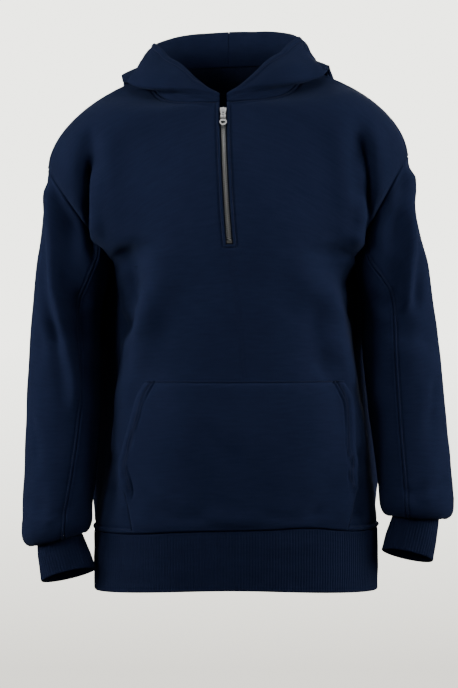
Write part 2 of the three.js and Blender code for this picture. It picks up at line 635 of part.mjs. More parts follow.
// ---------------------------------------------------------------- front and back
const frontGrid = panelGrid(-1);
const backGrid = panelGrid(1);
const neckRow = SIDE_ROWS + NECK_ROW;
const lastRow = frontGrid.length - 1;
const isStrip = (c) => c === MIDDLE - 1 || c === MIDDLE;
const front = sheet("front_panel", frontGrid, { keep: (r, c) => r < SIDE_ROWS || !isStrip(c) });
const back = sheet("back_panel", backGrid, { flip: true, keep: (r, c) => r < neckRow || !isStrip(c) });

// The facets of the front and back, for pieces that lie over them.
const bodyFaces = [front, back].flatMap((s) =>
  s.quads.flatMap(([a, b, c, d]) => [
    new THREE.Triangle(s.points[a], s.points[b], s.points[c]),
    new THREE.Triangle(s.points[a], s.points[c], s.points[d]),
  ]),
);
const LEVEL_REACH = 60; // facets further up or down than this are not looked at
const DEEPEST = 40; // a point further off than this is left alone

// Pushes a point off the outside of the body until it is clear of it by the gap.
function clearOfBody(p, gap) {
  const found = point(0, 0, 0);
  const nearest = point(0, 0, 0);
  const normal = point(0, 0, 0);
  let best = Infinity;
  let face = null;
  for (const triangle of bodyFaces) {
    if (Math.abs(triangle.a.z - p.z) > LEVEL_REACH) continue;
    triangle.closestPointToPoint(p, found);
    const away = found.distanceToSquared(p);
    if (away >= best) continue;
    best = away;
    face = triangle;
    nearest.copy(found);
  }
  if (!face) return p;
  face.getNormal(normal);
  const height = p.clone().sub(nearest).dot(normal);
  if (height > gap || best > DEEPEST ** 2) return p;
  return p.clone().addScaledVector(normal, gap - height);
}

// ---------------------------------------------------------------- sleeves and cuffs
// The angles round a ring that the armhole's points sit at, from the underarm over the front and down the back.
const LOOP = [
  ...ARMHOLE_ANGLES,
  ...ARMHOLE_ANGLES.slice(1, -1)
    .reverse()
    .map((a) => 360 - a),
];

// The angles of a ring's columns, evened out between the two seams as they leave the armhole.
function ringAngles(name, t) {
  const seam = seamCurve[name](t);
  const last = LOOP.length;
  const seamBack = last - SEAM_STEP;
  const even = (i) => {
    if (i <= SEAM_STEP) return (seam * i) / SEAM_STEP;
    if (i >= seamBack) return 360 - (seam * (last - i)) / SEAM_STEP;
    return mix(seam, 360 - seam, (i - SEAM_STEP) / (seamBack - SEAM_STEP));
  };
  return LOOP.map((start, i) => mix(start, even(i), ease(t / 0.25)));
}

// A point on an oval ring whose outer and inner points and depths are given.
function onRing(ring, angle, power) {
  const c = Math.cos(angle * RAD);
  const s = Math.sin(angle * RAD);
  const across = Math.sign(c) * Math.abs(c) ** power;
  const reach = Math.sign(s) * Math.abs(s) ** power;
  const tip = (1 - across) / 2;
  return point(
    mix(ring.innerX, ring.outerX, tip),
    ring.y - reach * (s > 0 ? ring.front : ring.back),
    mix(ring.innerZ, ring.outerZ, tip),
  );
}

function sleeveFold(angle, t) {
  let depth = 0;
  for (const fold of SLEEVE_FOLDS) {
    const along = clamp((t - fold.t0) / (fold.t1 - fold.t0), 0, 1);
    const off = (angle - mix(fold.angle0, fold.angle1, along)) / fold.width;
    const beyond = (t - mix(fold.t0, fold.t1, along)) / 0.05;
    const fade = ease(t / 0.12) * ease((0.9 - t) / 0.08);
    depth += fold.depth * Math.exp(-off * off - beyond * beyond) * fade;
  }
  return depth;
}

function sleeveGrid(name) {
  const side = name === "left" ? 1 : -1;
  const ring = curves(SLEEVES[name], "t");
  const at = (t) => Object.fromEntries(Object.keys(ring).map((key) => [key, ring[key](t)]));
  return SLEEVE_RINGS.map((t, r) =>
    ringAngles(name, t).map((angle, i) => {
      const start = LOOP[i];
      const edge = stand(armhole(side, start));
      if (r === 0) return edge;
      const fade = (1 - ease(t / 0.3)) ** 2;
      const gone = onRing(at(0), start, 1).sub(edge).multiplyScalar(-fade);
      const p = onRing(at(t), angle, mix(1, 0.92, ease(t / 0.3))).add(gone);
      const middle = onRing(at(t), 0, 1).add(onRing(at(t), 180, 1)).multiplyScalar(0.5);
      const inward = middle.sub(p).setZ(0).normalize();
      p.addScaledVector(inward, sleeveFold(angle, t));
      return t > 0.1 ? clearOfBody(p, 2) : p;
    }),
  );
}

// ---------------------------------------------------------------- ribbed tubes
// A tube from an upper to a lower edge loop, with ribs raised along it. Both loops have the same columns.
function ribbedTube(name, upper, lower, ribsIn, colour) {
  const count = upper.length;
  const fine = [];
  upper.forEach((_, i) => {
    const ribs = ribsIn(i);
    for (let k = 0; k < 2 * ribs; k++) fine.push({ i, u: k / (2 * ribs), crest: k % 2 === 1 });
  });
  const next = (i) => (i + 1) % count;
  const outOf = (i) => {
    const along = upper[next(i)].clone().sub(upper[(i + count - 1) % count]);
    return along.cross(lower[i].clone().sub(upper[i])).normalize().negate();
  };
  const outward = upper.map((_, i) => outOf(i));
  const down = upper.map((p, i) => lower[i].clone().sub(p).normalize());
  const levels = [TUBE_GAP, RIB_START, "end"];
  const place = (i, level) => {
    if (level === "end") return lower[i].clone();
    return upper[i].clone().addScaledVector(down[i], level);
  };
  const position = [];
  const add = (p) => {
    position.push(p.x, p.y, p.z);
    return position.length / 3 - 1;
  };
  const outer = levels.map((level, n) =>
    fine.map(({ i, u, crest }) => {
      const p = place(i, level).lerp(place(next(i), level), u);
      const out = outward[i].clone().lerp(outward[next(i)], u).normalize();
      return add(p.addScaledVector(out, crest && n > 0 ? RIB_RISE : 0));
    }),
  );
  const innerLevels = [levels[0], "end"];
  const inner = innerLevels.map((level) =>
    upper.map((_, i) => add(place(i, level).addScaledVector(outward[i], -WALL))),
  );
  const triangles = [];
  for (let n = 0; n < levels.length - 1; n++) {
    fine.forEach((_, f) => {
      const g = (f + 1) % fine.length;
      triangles.push(outer[n][f], outer[n + 1][f], outer[n + 1][g], outer[n][f], outer[n + 1][g], outer[n][g]);
    });
  }
  upper.forEach((_, i) => {
    const j = next(i);
    triangles.push(inner[0][i], inner[1][j], inner[1][i], inner[0][i], inner[0][j], inner[1][j]);
  });
  fine.forEach(({ i }, f) => {
    const g = (f + 1) % fine.length;
    triangles.push(inner[0][i], outer[0][f], outer[0][g]);
    triangles.push(inner[1][i], outer[2][g], outer[2][f]);
    if (fine[g].i === i) return;
    triangles.push(inner[0][i], outer[0][g], inner[0][next(i)]);
    triangles.push(inner[1][i], inner[1][next(i)], outer[2][g]);
  });
  return mesh(name, position, triangles, colour);
}

function cuff(name, grid) {
  const ends = grid[grid.length - 1];
  const middle = ends.reduce((sum, p) => sum.add(p), point(0, 0, 0)).divideScalar(ends.length);
  const upper = ends.map((p) => p.clone().addScaledVector(middle.clone().sub(p).normalize(), CUFF_TUCK));
  const end = CUFF_ENDS[name];
  const lower = ringAngles(name, 1).map((angle) => {
    const p = onRing(end, angle, 1);
    return p.setZ(p.z + end.frontLift * Math.sin(angle * RAD));
  });
  const ordered = (loop) => (name === "left" ? loop.slice().reverse() : loop);
  return ribbedTube("cuff_" + name, ordered(upper), ordered(lower), () => CUFF_RIBS, NAVY_RIB);
}

function hemBand() {
  const loop = [...frontGrid[0], ...backGrid[0].slice(1, -1).reverse()];
  const upper = loop.map((p) => p.clone());
  const lower = loop.map((p) => {
    const bearing = Math.atan2(p.x, -p.y);
    const height = HEM_END_Z + HEM_END_LIFT[sideOf(p.y)] * Math.cos(bearing) ** 2;
    return point(p.x, p.y, height);
  });
  const ribsIn = (i) => {
    const length = loop[i].distanceTo(loop[(i + 1) % loop.length]);
    return Math.max(1, Math.round(length / RIB_SPACING));
  };
  return ribbedTube("hem_band", upper, lower, ribsIn, NAVY_RIB);
}

// ---------------------------------------------------------------- hood
function hoodGrid(side) {
  const profile = curves(HOOD, "at");
  const neckColumn = MIDDLE + side;
  const seam = [];
  for (let r = neckRow; r <= lastRow; r++) seam.push(frontGrid[r][neckColumn]);
  for (let r = lastRow - 1; r >= neckRow; r--) seam.push(backGrid[r][neckColumn]);
  seam.push(backGrid[neckRow][MIDDLE]);
  const bearingOf = (k) => {
    if (k === seam.length - 1) return 180;
    if (k === seam.length - 2) return HOOD_STRIP_AT;
    return Math.max((k * 90) / NECK_STEPS, HOOD_START_AT);
  };
  return seam.map((start, k) => {
    const at = bearingOf(k);
    const turns = HOOD_TURNS.map((turn) => {
      const bearing = turn === "rim" ? profile.rimAt(at) : at;
      const out = profile[turn + "O"](at);
      const c = Math.cos(bearing * RAD);
      const depth = c > 0 ? NECK_FRONT : NECK_BACK;
      const p = point(side * (NECK_HALF + out) * Math.sin(bearing * RAD), -(depth + out) * c, 0);
      p.z = profile[turn + "Z"](at);
      return stand(p);
    });
    const controls = [start, ...turns];
    const rows = [];
    for (let n = 0; n <= HOOD_TURNS.length * HOOD_STEPS; n++) {
      const p = through(controls, n / HOOD_STEPS);
      const hanging = n > HOOD_STEPS * 2 && n < HOOD_STEPS * HOOD_TURNS.length;
      rows.push(hanging ? clearOfBody(p, HOOD_CLEAR) : p);
    }
    return rows;
  });
}

// ---------------------------------------------------------------- pocket
// The place on a panel's facets that is seen at x, z from the front, with its outward direction.
function onPanel(panel, grid, x, z) {
  const columns = grid[0].length;
  let r = 2;
  let c = 0;
  const rowPoint = (row, k) => grid[Math.floor(row)][k].clone().lerp(grid[Math.floor(row) + 1][k], row % 1);
  for (let pass = 0; pass < 8; pass++) {
    let k = 0;
    while (k < columns - 2 && rowPoint(r, k + 1).x < x) k++;
    const a = rowPoint(r, k);
    const b = rowPoint(r, k + 1);
    c = k + clamp((x - a.x) / (b.x - a.x), 0, 1);
    const here = a.lerp(b, c - k);
    const step = grid[Math.floor(r) + 1][k].z - grid[Math.floor(r)][k].z;
    r = clamp(r + (z - here.z) / step, 0, grid.length - 2.001);
  }
  const k = Math.floor(c);
  const row = Math.floor(r);
  const cell = [row * columns + k, (row + 1) * columns + k, row * columns + k + 1, (row + 1) * columns + k + 1];
  const lerp = (values) => {
    const left = values[cell[0]].clone().lerp(values[cell[1]], r - row);
    const right = values[cell[2]].clone().lerp(values[cell[3]], r - row);
    return left.lerp(right, c - k);
  };
  return { p: lerp(panel.points), n: lerp(panel.normals).normalize() };
}

function pocket() {
  const edges = curves(POCKET, "z");
  const foot = POCKET[0];
  const top = POCKET[POCKET.length - 1];
  const rows = [];
  for (let r = 0; r <= POCKET_ROWS; r++) {
    const row = [];
    for (let c = 0; c <= POCKET_COLUMNS; c++) {
      const u = c / POCKET_COLUMNS;
      const seam = onPanel(front, frontGrid, mix(foot.left, foot.right, u), HEM_SEAM_Z - 14).p.z;
      const z = mix(seam + POCKET_FOOT, top.z, r / POCKET_ROWS);
      const x = mix(edges.left(z), edges.right(z), u);
      const { p, n } = onPanel(front, frontGrid, x, z);
      const middle = Math.sin(Math.PI * u) ** 0.5 * Math.sin((Math.PI * r) / POCKET_ROWS) ** 0.5;
      row.push(p.addScaledVector(n, POCKET_LIFT + WALL + POCKET_CROWN * middle));
    }
    rows.push(row);
  }
  return sheet("pocket", rows);
}

// ---------------------------------------------------------------- zip
// The zip's middle line at a row of the front panel: its place, and the ways across and out.
function zipLine(row) {
  const r = Math.floor(row);
  const at = (c) => frontGrid[r][c].clone().lerp(frontGrid[Math.min(r + 1, lastRow)][c], row - r);
  const normal = (c) => front.normals[r * GRID_COLUMNS + c].clone();
  const left = at(MIDDLE - 1);
  const right = at(MIDDLE + 1);
  const out = normal(MIDDLE - 1).add(normal(MIDDLE + 1)).normalize();
  const across = right.clone().sub(left).normalize();
  return { middle: left.clone().add(right).multiplyScalar(0.5), across, out };
}

// A strip down the zip's middle line between two depths below the panel's face.
function zipStrip(name, rows, half, above, below, colour) {
  const grid = rows.map((row) => {
    const { middle, across, out } = zipLine(row);
    return [-half, 0, half].map((x) => middle.clone().addScaledVector(across, x).addScaledVector(out, above));
  });
  const strip = sheet(name, grid);
  addNormals([strip]);
  return wall(strip, above - below, colour, 0);
}

// Joins closed geometries, and cuts the holes out of them.
function joined(solids, holes = []) {
  const toManifold = (geometry) => {
    const bare = new THREE.BufferGeometry().setAttribute("position", geometry.getAttribute("position"));
    if (geometry.index) bare.setIndex(geometry.index);
    const merged = mergeVertices(bare, 1e-4);
    return new manifold.Manifold(
      new manifold.Mesh({
        numProp: 3,
        vertProperties: merged.getAttribute("position").array,
        triVerts: new Uint32Array(merged.index.array),
      }),
    );
  };
  const sum = manifold.Manifold.union(solids.map(toManifold));
  const cut = holes.length ? sum.subtract(manifold.Manifold.union(holes.map(toManifold))) : sum;
  const result = cut.getMesh();
  const geometry = new THREE.BufferGeometry();
  geometry.setAttribute("position", new THREE.Float32BufferAttribute(result.vertProperties, 3));
  geometry.setIndex([...result.triVerts]);
  return geometry;
}

// A flat shape drawn across (x) and down (-z), given thickness from y0 out to y1, with y pointing outwards.
function plate(outline, y0, y1, holes = []) {
  const shape = new THREE.Shape(outline.map(([x, z]) => new THREE.Vector2(x, z)));
  for (const { x, z, rx, rz } of holes) {
    shape.holes.push(new THREE.Path().absellipse(x, z, rx, rz, 0, Math.PI * 2));
  }
  const made = new THREE.ExtrudeGeometry(shape, { depth: y1 - y0, bevelEnabled: false, curveSegments: 8 });
  return made.rotateX(Math.PI / 2).translate(0, y1, 0);
}

function box(x0, x1, y0, y1, z0, z1) {
  const made = new THREE.BoxGeometry(x1 - x0, y1 - y0, z1 - z0);
  return made.translate((x0 + x1) / 2, (y0 + y1) / 2, (z0 + z1) / 2);
}

function barAcross(radius, half, y, z, sides) {
  return new THREE.CylinderGeometry(radius, radius, 2 * half, sides).rotateZ(Math.PI / 2).translate(0, y, z);
}

// Turns a metal piece from its own upright frame, with y outwards, to its place on the zip.
function placed(name, geometry, place) {
  const solid = new THREE.Mesh(
    geometry.applyMatrix4(place),
    new THREE.MeshStandardMaterial({ color: METAL.colour, roughness: METAL.roughness, metalness: 1 }),
  );
  solid.name = name;
  return solid;
}

function sliderPlace() {
  let row = SIDE_ROWS;
  while (row < neckRow - 0.02 && zipLine(row).middle.z < SLIDER_Z) row += 0.01;
  const { middle } = zipLine(row);
  const below = zipLine(row - 1.2).middle;
  const up = middle.clone().sub(below).setX(0).normalize();
  const across = point(-1, 0, 0);
  const out = up.clone().cross(across);
  return new THREE.Matrix4().makeBasis(across, out, up).setPosition(middle);
}

// The slider: a plate wide at its shoulders, rails beside the chain, and a crown the pull hangs under.
function slider() {
  const face = [[-4.2, 5], [4.2, 5], [4.2, 1.5], [3.2, -5], [-3.2, -5], [-4.2, 1.5]].reverse();
  const base = 1.2;
  const solids = [
    plate(face, -0.4, base),
    box(-4.2, -3.5, -2.4, 0, 1.5, 5),
    box(3.5, 4.2, -2.4, 0, 1.5, 5),
    box(-1.1, 1.1, base - 0.2, 5, CROWN_FOOT, 3.4),
  ];
  return joined(solids, [barAcross(1.35, 2, BAR_OUT, BAR_UP, 12)]);
}

// The pull, in its hanging pose: a bar under the crown, a link with an eye, a barrel and a ring tab.
function pull() {
  const near = 2.15;
  const far = 3.55;
  const arm = (side) => [[1.5, 1.2], [2.9, 1.2], [2.9, -4.6], [1.5, -4.6]].map(([x, z]) => [side * x, z]);
  const link = [[-2.9, -4.4], [2.9, -4.4], [3.7, -10.6], [-3.7, -10.6]].reverse();
  const neck = [[-3.1, -13], [3.1, -13], [2.6, -17], [-2.6, -17]].reverse();
  const ring = new THREE.Shape().absarc(0, RING_Z, 5, 0, Math.PI * 2).getPoints(16);
  ring.pop();
  return joined([
    barAcross(0.7, 2.9, BAR_OUT, BAR_UP, 10),
    plate(arm(-1), near, far),
    plate(arm(1).reverse(), near, far),
    plate(link, near, far, [{ x: 0, z: -7.3, rx: 1.2, rz: 1.2 }]),
    barAcross(2, 3.9, 2.75, -12.1, 14),
    plate(neck, near, far),
    plate(ring.map(({ x, y }) => [x, y]), near, far, [{ x: 0, z: RING_Z, rx: 3, rz: 2.5 }]),
  ]);
}

// ---------------------------------------------------------------- the whole garment
addNormals([front, back]);
const garment = new THREE.Group();

const zipRows = [];
for (let r = SIDE_ROWS; r < neckRow; r++) zipRows.push(r);
const tapeRows = [SIDE_ROWS - 0.3, ...zipRows, neckRow - 0.02];
garment.add(zipStrip("zip_tape", tapeRows, TAPE_HALF, -TAPE_BEHIND, -TAPE_BEHIND - TAPE_THICK, TAPE));
const chainTop = -TAPE_BEHIND + 0.3 + CHAIN_THICK;
const chainRows = [SIDE_ROWS + 0.25, ...zipRows.slice(1), neckRow - 0.6];
garment.add(zipStrip("zip_chain", chainRows, CHAIN_HALF, chainTop, chainTop - CHAIN_THICK, METAL));
const stopRows = [SIDE_ROWS + 0.06, SIDE_ROWS + 0.23];
garment.add(zipStrip("zip_stop", stopRows, CHAIN_HALF + 0.6, chainTop + 0.4, chainTop - CHAIN_THICK, METAL));

const place = sliderPlace();
garment.add(placed("zip_slider", slider(), place), placed("zip_pull", pull(), place));

const patch = pocket();
addNormals([patch]);
garment.add(wall(patch, WALL, NAVY, 0));

for (const side of ["right", "left"]) {
  const grid = sleeveGrid(side);
  const last = LOOP.length;
  const under = (c) => c < SEAM_STEP || c >= last - SEAM_STEP;
  const flip = side === "left";
  const top = sheet("sleeve_top_" + side, grid, { wrap: true, flip, keep: (r, c) => !under(c) });
  const lower = sheet("sleeve_under_" + side, grid, { wrap: true, flip, keep: (r, c) => under(c) });
  addNormals([top, lower]);
  garment.add(wall(top, WALL, NAVY), wall(lower, WALL, NAVY));
  garment.add(cuff(side, grid));
}

const hoodHalves = [-1, 1].map((side) =>
  sheet(side < 0 ? "hood_right" : "hood_left", hoodGrid(side), { flip: side > 0 }),
);
addNormals(hoodHalves);
for (const half of hoodHalves) garment.add(wall(half, HOOD_WALL, NAVY));

garment.add(hemBand());
garment.add(wall(front, WALL, NAVY), wall(back, WALL, NAVY));

export default garment;
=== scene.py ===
# %% [markdown]
# # A half-zip hooded sweatshirt
#
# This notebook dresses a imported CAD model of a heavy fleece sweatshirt. The CAD pieces are faceted walls.
# Here each one is made again as fine cloth, with its folds, sewing and ribs, in the same place and frame.
# The slider, pull and bottom stop keep their CAD shape and get a metal finish. Lengths are worked out in
# millimetres, as a pattern cutter would write them, and become metres when a mesh is made.

# %% Load the frame
import math

import bpy
import numpy as np
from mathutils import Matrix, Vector
from mathutils.bvhtree import BVHTree
from mathutils.kdtree import KDTree


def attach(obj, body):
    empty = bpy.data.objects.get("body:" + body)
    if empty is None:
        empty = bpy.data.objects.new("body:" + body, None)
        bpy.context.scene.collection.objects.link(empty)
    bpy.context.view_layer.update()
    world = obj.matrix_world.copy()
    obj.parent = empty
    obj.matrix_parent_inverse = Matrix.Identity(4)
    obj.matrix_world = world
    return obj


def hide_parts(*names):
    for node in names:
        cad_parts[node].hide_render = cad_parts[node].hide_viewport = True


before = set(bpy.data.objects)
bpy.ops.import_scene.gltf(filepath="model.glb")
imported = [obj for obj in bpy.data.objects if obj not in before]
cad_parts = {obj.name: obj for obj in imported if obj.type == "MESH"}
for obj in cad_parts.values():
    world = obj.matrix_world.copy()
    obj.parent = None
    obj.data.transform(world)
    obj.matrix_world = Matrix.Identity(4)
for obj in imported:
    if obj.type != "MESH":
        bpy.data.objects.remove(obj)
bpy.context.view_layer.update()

# %% [markdown]
# ## The camera
#
# The garment is looked at straight from the front, a long way off, at belly height. A long lens keeps the
# sleeves from looking bigger than the body. Depth of field stays off, so every seam is sharp.

# %% Camera
EYE = (0.0014, -3.6, -0.388)
FIELD = 0.9632  # height of what is seen at the garment, in metres
camera = bpy.data.objects.new("camera", bpy.data.cameras.new("camera"))
bpy.context.scene.collection.objects.link(camera)
camera.location = EYE
camera.rotation_euler = (math.radians(90), 0, 0)
camera.data.sensor_width = 36  # millimetres
camera.data.lens = camera.data.sensor_width * -EYE[1] / FIELD
bpy.context.scene.camera = camera
print("lens", round(camera.data.lens, 1), "mm")

# %% [markdown]
# ## Small tools for tables and curves
#
# A pattern is a handful of measurements, so the shapes below start from short tables. `curve` reads one
# column of a table as a smooth line. The slope at each row is taken from its neighbours, which is called a
# Hermite curve. `run_of` measures along a line of points and `read_off` finds the points at given
# distances along it.

# %% Tables and curves


def mix(a, b, t):
    return a + (b - a) * t


def ease(t):
    c = np.clip(t, 0, 1)
    return c * c * (3 - 2 * c)


def unit(v):
    return v / np.maximum(np.linalg.norm(v, axis=-1, keepdims=True), 1e-9)


def table(names, rows):
    """One named column for each word, and one row for each line."""
    values = np.array([[float(v) for v in line.split()] for line in rows.strip().splitlines()])
    return dict(zip(names.split(), values.T))


def hermite(a, b, slope_a, slope_b, t):
    return (
        (2 * t**3 - 3 * t**2 + 1) * a + (t**3 - 2 * t**2 + t) * slope_a
        + (3 * t**2 - 2 * t**3) * b + (t**3 - t**2) * slope_b
    )


def curve(rows, key, name, at):
    keys, values = rows[key], rows[name]
    n = len(keys)
    low, high = np.maximum(np.arange(n) - 1, 0), np.minimum(np.arange(n) + 1, n - 1)
    slopes = (values[high] - values[low]) / (keys[high] - keys[low])
    at = np.asarray(at, float)
    i = np.clip(np.searchsorted(keys, at) - 1, 0, n - 2)
    span = keys[i + 1] - keys[i]
    t = np.clip((at - keys[i]) / span, 0, 1)
    return hermite(values[i], values[i + 1], slopes[i] * span, slopes[i + 1] * span, t)


def run_of(line):
    """How far each point of a line is from its first point, measured along it."""
    return np.concatenate([[0], np.cumsum(np.linalg.norm(np.diff(line, axis=0), axis=1))])


def read_off(at, along, values):
    """Points or directions at some distances along a line."""
    return np.stack([np.interp(at, along, values[:, k]) for k in range(3)], 1)


square = np.array([[0, 0, 0], [40, 0, 0], [40, 30, 0.0]])
print("a corner of 40 and 30 mm runs", run_of(square)[-1], "mm")

# %% [markdown]
# ## The measurements
#
# These are the same numbers that the CAD source uses: body widths level by level, how far the back hangs
# out behind the arms, the stance of the wearer, the waves of the hem, and the armhole. Using the same
# numbers puts the fine cloth exactly on the solid walls.

# %% Measurements of the body
WALL, HOOD_WALL = 2.6, 5.0
ZIP_LENGTH, SLIT_HALF = 197, 5
NECK_HALF, NECK_DROP, NECK_FRONT, NECK_SCOOP = 104, 57, 90, 1.7
NECK_BACK, NECK_BACK_RISE, BACK_STRIP = 78, 10, 12
HEM_SEAM_Z, HEM_END_Z, BACK_TURN_Z = -646, -729, -262
NECK_FULL, ROW_DROOP = 14, 1.6
SHOULDER_START_Z, SHOULDER_ROUND, ROUND_POWER = -4, 0.58, 2.6
SHOULDER_TIP, UNDERARM = (252, 4, -134), (166, 4, -272)
SIDE_ROWS, NECK_ROW, NECK_STEPS, SEAM_STEP, HALF_COLUMNS = 11, 8, 8, 4, 10
ARMHOLE_ANGLES = np.array([0, 13, 27, 42, 57, 72, 87, 102, 116, 124, 132, 140, 148, 156, 164, 172, 180.0])
SLIT_ROW, CORNER_ROW, LAST_ROW = SIDE_ROWS, SIDE_ROWS + NECK_ROW, SIDE_ROWS + len(ARMHOLE_ANGLES) - 1
MIDDLE = HALF_COLUMNS + 1

BODY = table("z half front back square", """
-730 196 138 124 2.5
-648 198 142 127 2.5
-590 190 147 132 2.5
-530 180 149 133 2.5
-466 170 149 132 2.5
-396 163 149 130 2.45
-330 165 151 130 2.4
-272 166 152 131 2.35
-210 166 147 131 2.3
-150 166 131 126 2.2
-100 166 111 117 2.1
-53  166  90 105 2.0
12   166  60  78 2.0""")
BACK_HANG = table("z right left square", """
-640 0  0  0
-622 22 24 0.5
-600 41 44 1.1
-566 49 52 1.5
-530 52 51 1.6
-466 62 53 1.6
-396 70 55 1.6
-330 58 56 1.6
-290 30 32 1
-262 10 12 0.4
-240 2  3  0.1
-222 0  0  0""")
STANCE = table("z shift turn tilt", """
-730 10  3 0
-648 11  3 0
-530 15  3 0
-440 14  3 0
-330  9  1 0.008
-256  5 -1 0.018
-150  0 -2 0.032
-53  -2 -3 0.036
60   -3 -3 0.040""")
HEM_WAVES = table("angle lift", """
-180  0
-140  2.5
-100 -1
-72   3
-48  -2
-20   0.5
4     1
24    7
52   -1.5
85    4
120  -1
150   2
180   0""")
ARMHOLE = table("angle climb front back", """
0   0     0  0
30  0.05 31 34
60  0.2  49 57
90  0.44 59 69
120 0.7  60 68
150 0.91 38 44
180 1     0  0""")
print(len(BODY["z"]), "levels of the body")

# %% [markdown]
# ## Front and back as coarse grids
#
# The front and back are each cut in one piece. A coarse grid of points follows the cut: the lower rows run
# from centre to side seam, the next rows from the zip to the armhole, and the top rows fan round the neck
# to the shoulder seam.

# %% Coarse panels
EVENING_ROUNDS = 2  # how often the inner points are drawn half way to the middle of their neighbours


def stand(p):
    """Moves the evenly hanging garment to where the wearer's stance puts it."""
    x, y, z = p[..., 0], p[..., 1], p[..., 2]
    turn = np.radians(curve(STANCE, "z", "turn", z))
    return np.stack([
        x * np.cos(turn) - y * np.sin(turn) + curve(STANCE, "z", "shift", z),
        x * np.sin(turn) + y * np.cos(turn),
        z + curve(STANCE, "z", "tilt", z) * x,
    ], -1)


def armhole(side, angle):
    """The armhole, by angle: underarm 0, front 90, shoulder tip 180, back 270."""
    angle = np.asarray(angle, float)
    behind = angle > 180
    turned = np.where(behind, 360 - angle, angle)
    climb = curve(ARMHOLE, "angle", "climb", turned)
    reach = np.where(
        behind, curve(ARMHOLE, "angle", "back", turned), -curve(ARMHOLE, "angle", "front", turned))
    return np.stack([
        side * mix(UNDERARM[0], SHOULDER_TIP[0], climb), UNDERARM[1] + reach,
        mix(UNDERARM[2], SHOULDER_TIP[2], climb),
    ], -1)


def hem_seam(face, angle):
    lift = 6 * np.cos(np.radians(angle)) ** 2 if face < 0 else 0
    return HEM_SEAM_Z + lift + curve(HEM_WAVES, "angle", "lift", angle)


def section(face, s, strip, centre_z, outer, full):
    """One level of a panel, from beside its middle (s = 0) to its outer edge (s = 1)."""
    depth = face * curve(BODY, "z", "front" if face < 0 else "back", centre_z)
    wider = (face > 0) * curve(BACK_HANG, "z", "square", outer[2])
    power = 2 / (curve(BODY, "z", "square", centre_z) + wider)
    innermost = strip / abs(outer[0])
    angle = mix(np.arcsin(innermost ** (1 / power)), np.pi / 2, s)
    across, away = np.sin(angle) ** power, np.abs(np.cos(angle)) ** power
    hang = (face > 0) * curve(BACK_HANG, "z", "right" if outer[0] < 0 else "left", outer[2])
    return np.stack([
        outer[0] * across + np.sign(outer[0]) * hang * away * (across - innermost),
        mix(outer[1], depth, away) + face * full * np.sin(2 * angle),
        mix(centre_z, outer[2], across**ROW_DROOP),
    ], -1)


def side_seam(side, z):
    return np.stack([side * curve(BODY, "z", "half", z), np.full_like(z, UNDERARM[1]), z], -1)


def shoulder_seam(side, s):
    x = mix(NECK_HALF, SHOULDER_TIP[0], np.sin(s * np.pi / 2) ** 0.9)
    drop = np.clip((x - NECK_HALF) / (SHOULDER_TIP[0] - NECK_HALF), 0, 1)
    fallen = mix(drop, 1 - np.sqrt(1 - drop**ROUND_POWER), SHOULDER_ROUND)
    return np.stack([side * x, SHOULDER_TIP[1] * s, mix(SHOULDER_START_Z, SHOULDER_TIP[2], fallen)], -1)


def half_panel(face, side):
    """Half of the front (face -1) or back (face 1), from the middle to one side (-1 or 1)."""
    front = face < 0
    strip, neck_z = (SLIT_HALF, -NECK_DROP) if front else (BACK_STRIP, NECK_BACK_RISE)
    turn_z = -NECK_DROP - ZIP_LENGTH if front else BACK_TURN_Z
    s = np.linspace(0, 1, HALF_COLUMNS + 1)
    rows = []
    for t in np.linspace(0, 1, SIDE_ROWS + 1):
        bottom = hem_seam(face, side * (90 * s if front else 180 - 90 * s))
        outer = side_seam(side, mix(hem_seam(face, side * 90.0), UNDERARM[2], np.array(t)))
        rows.append(section(face, s, strip, mix(bottom, turn_z, t), outer, 0))
    for r in range(1, NECK_ROW + 1):
        t = r / NECK_ROW
        outer = armhole(side, ARMHOLE_ANGLES[r] if front else 360 - ARMHOLE_ANGLES[r])
        level = np.full_like(s, mix(turn_z, neck_z, t))
        rows.append(section(face, s, strip, level, outer, NECK_FULL * t * t))
    chest, top = rows[-1], shoulder_seam(side, s)
    chest[0, 1] = face * (NECK_FRONT if front else NECK_BACK)
    for angle in ARMHOLE_ANGLES[NECK_ROW + 1:]:
        start = ARMHOLE_ANGLES[NECK_ROW]
        turned = (angle - start) / (180 - start) * np.pi / 2
        up, out = np.sin(turned), np.cos(turned)
        rise = mix((1 - out) ** NECK_SCOOP, up, ease(s / 0.35))
        row = np.stack([
            mix(chest[:, 0], top[:, 0], up),
            mix(top[:, 1], chest[:, 1], out),
            mix(chest[:, 2], top[:, 2], rise),
        ], -1)
        row[-1] = armhole(side, angle if front else 360 - angle)
        rows.append(row)
    grid = np.array(rows)
    for _ in range(EVENING_ROUNDS):
        around = (grid[:-2, 1:-1] + grid[2:, 1:-1] + grid[1:-1, :-2] + grid[1:-1, 2:]) / 4
        grid[1:-1, 1:-1] = mix(grid[1:-1, 1:-1], around, 0.5)
    return grid


def coarse_panel(face):
    minus, plus = half_panel(face, -1), half_panel(face, 1)
    return np.concatenate([minus[:, ::-1], (minus[:, :1] + plus[:, :1]) / 2, plus], 1)


coarse = {face: coarse_panel(face) for face in (-1, 1)}
print("coarse panel grid", coarse[-1].shape)

# %% [markdown]
# ## From a coarse grid to a fine one
#
# Fine rows and columns are added between the coarse ones on a smooth curve. Beside seams and edges they
# crowd together, because that is where cloth turns sharply: a sewn edge rolls under within two
# millimetres.

# %% Fine steps
PITCH = 4.6  # usual distance between fine rows and columns
ROLL = (0, 0.35, 0.9, 1.6, 2.6)  # rows beside a plain seam
SEWN = ROLL + (4, 5.2, 6.2, 7.4, 8.6)  # rows beside a seam with topstitching


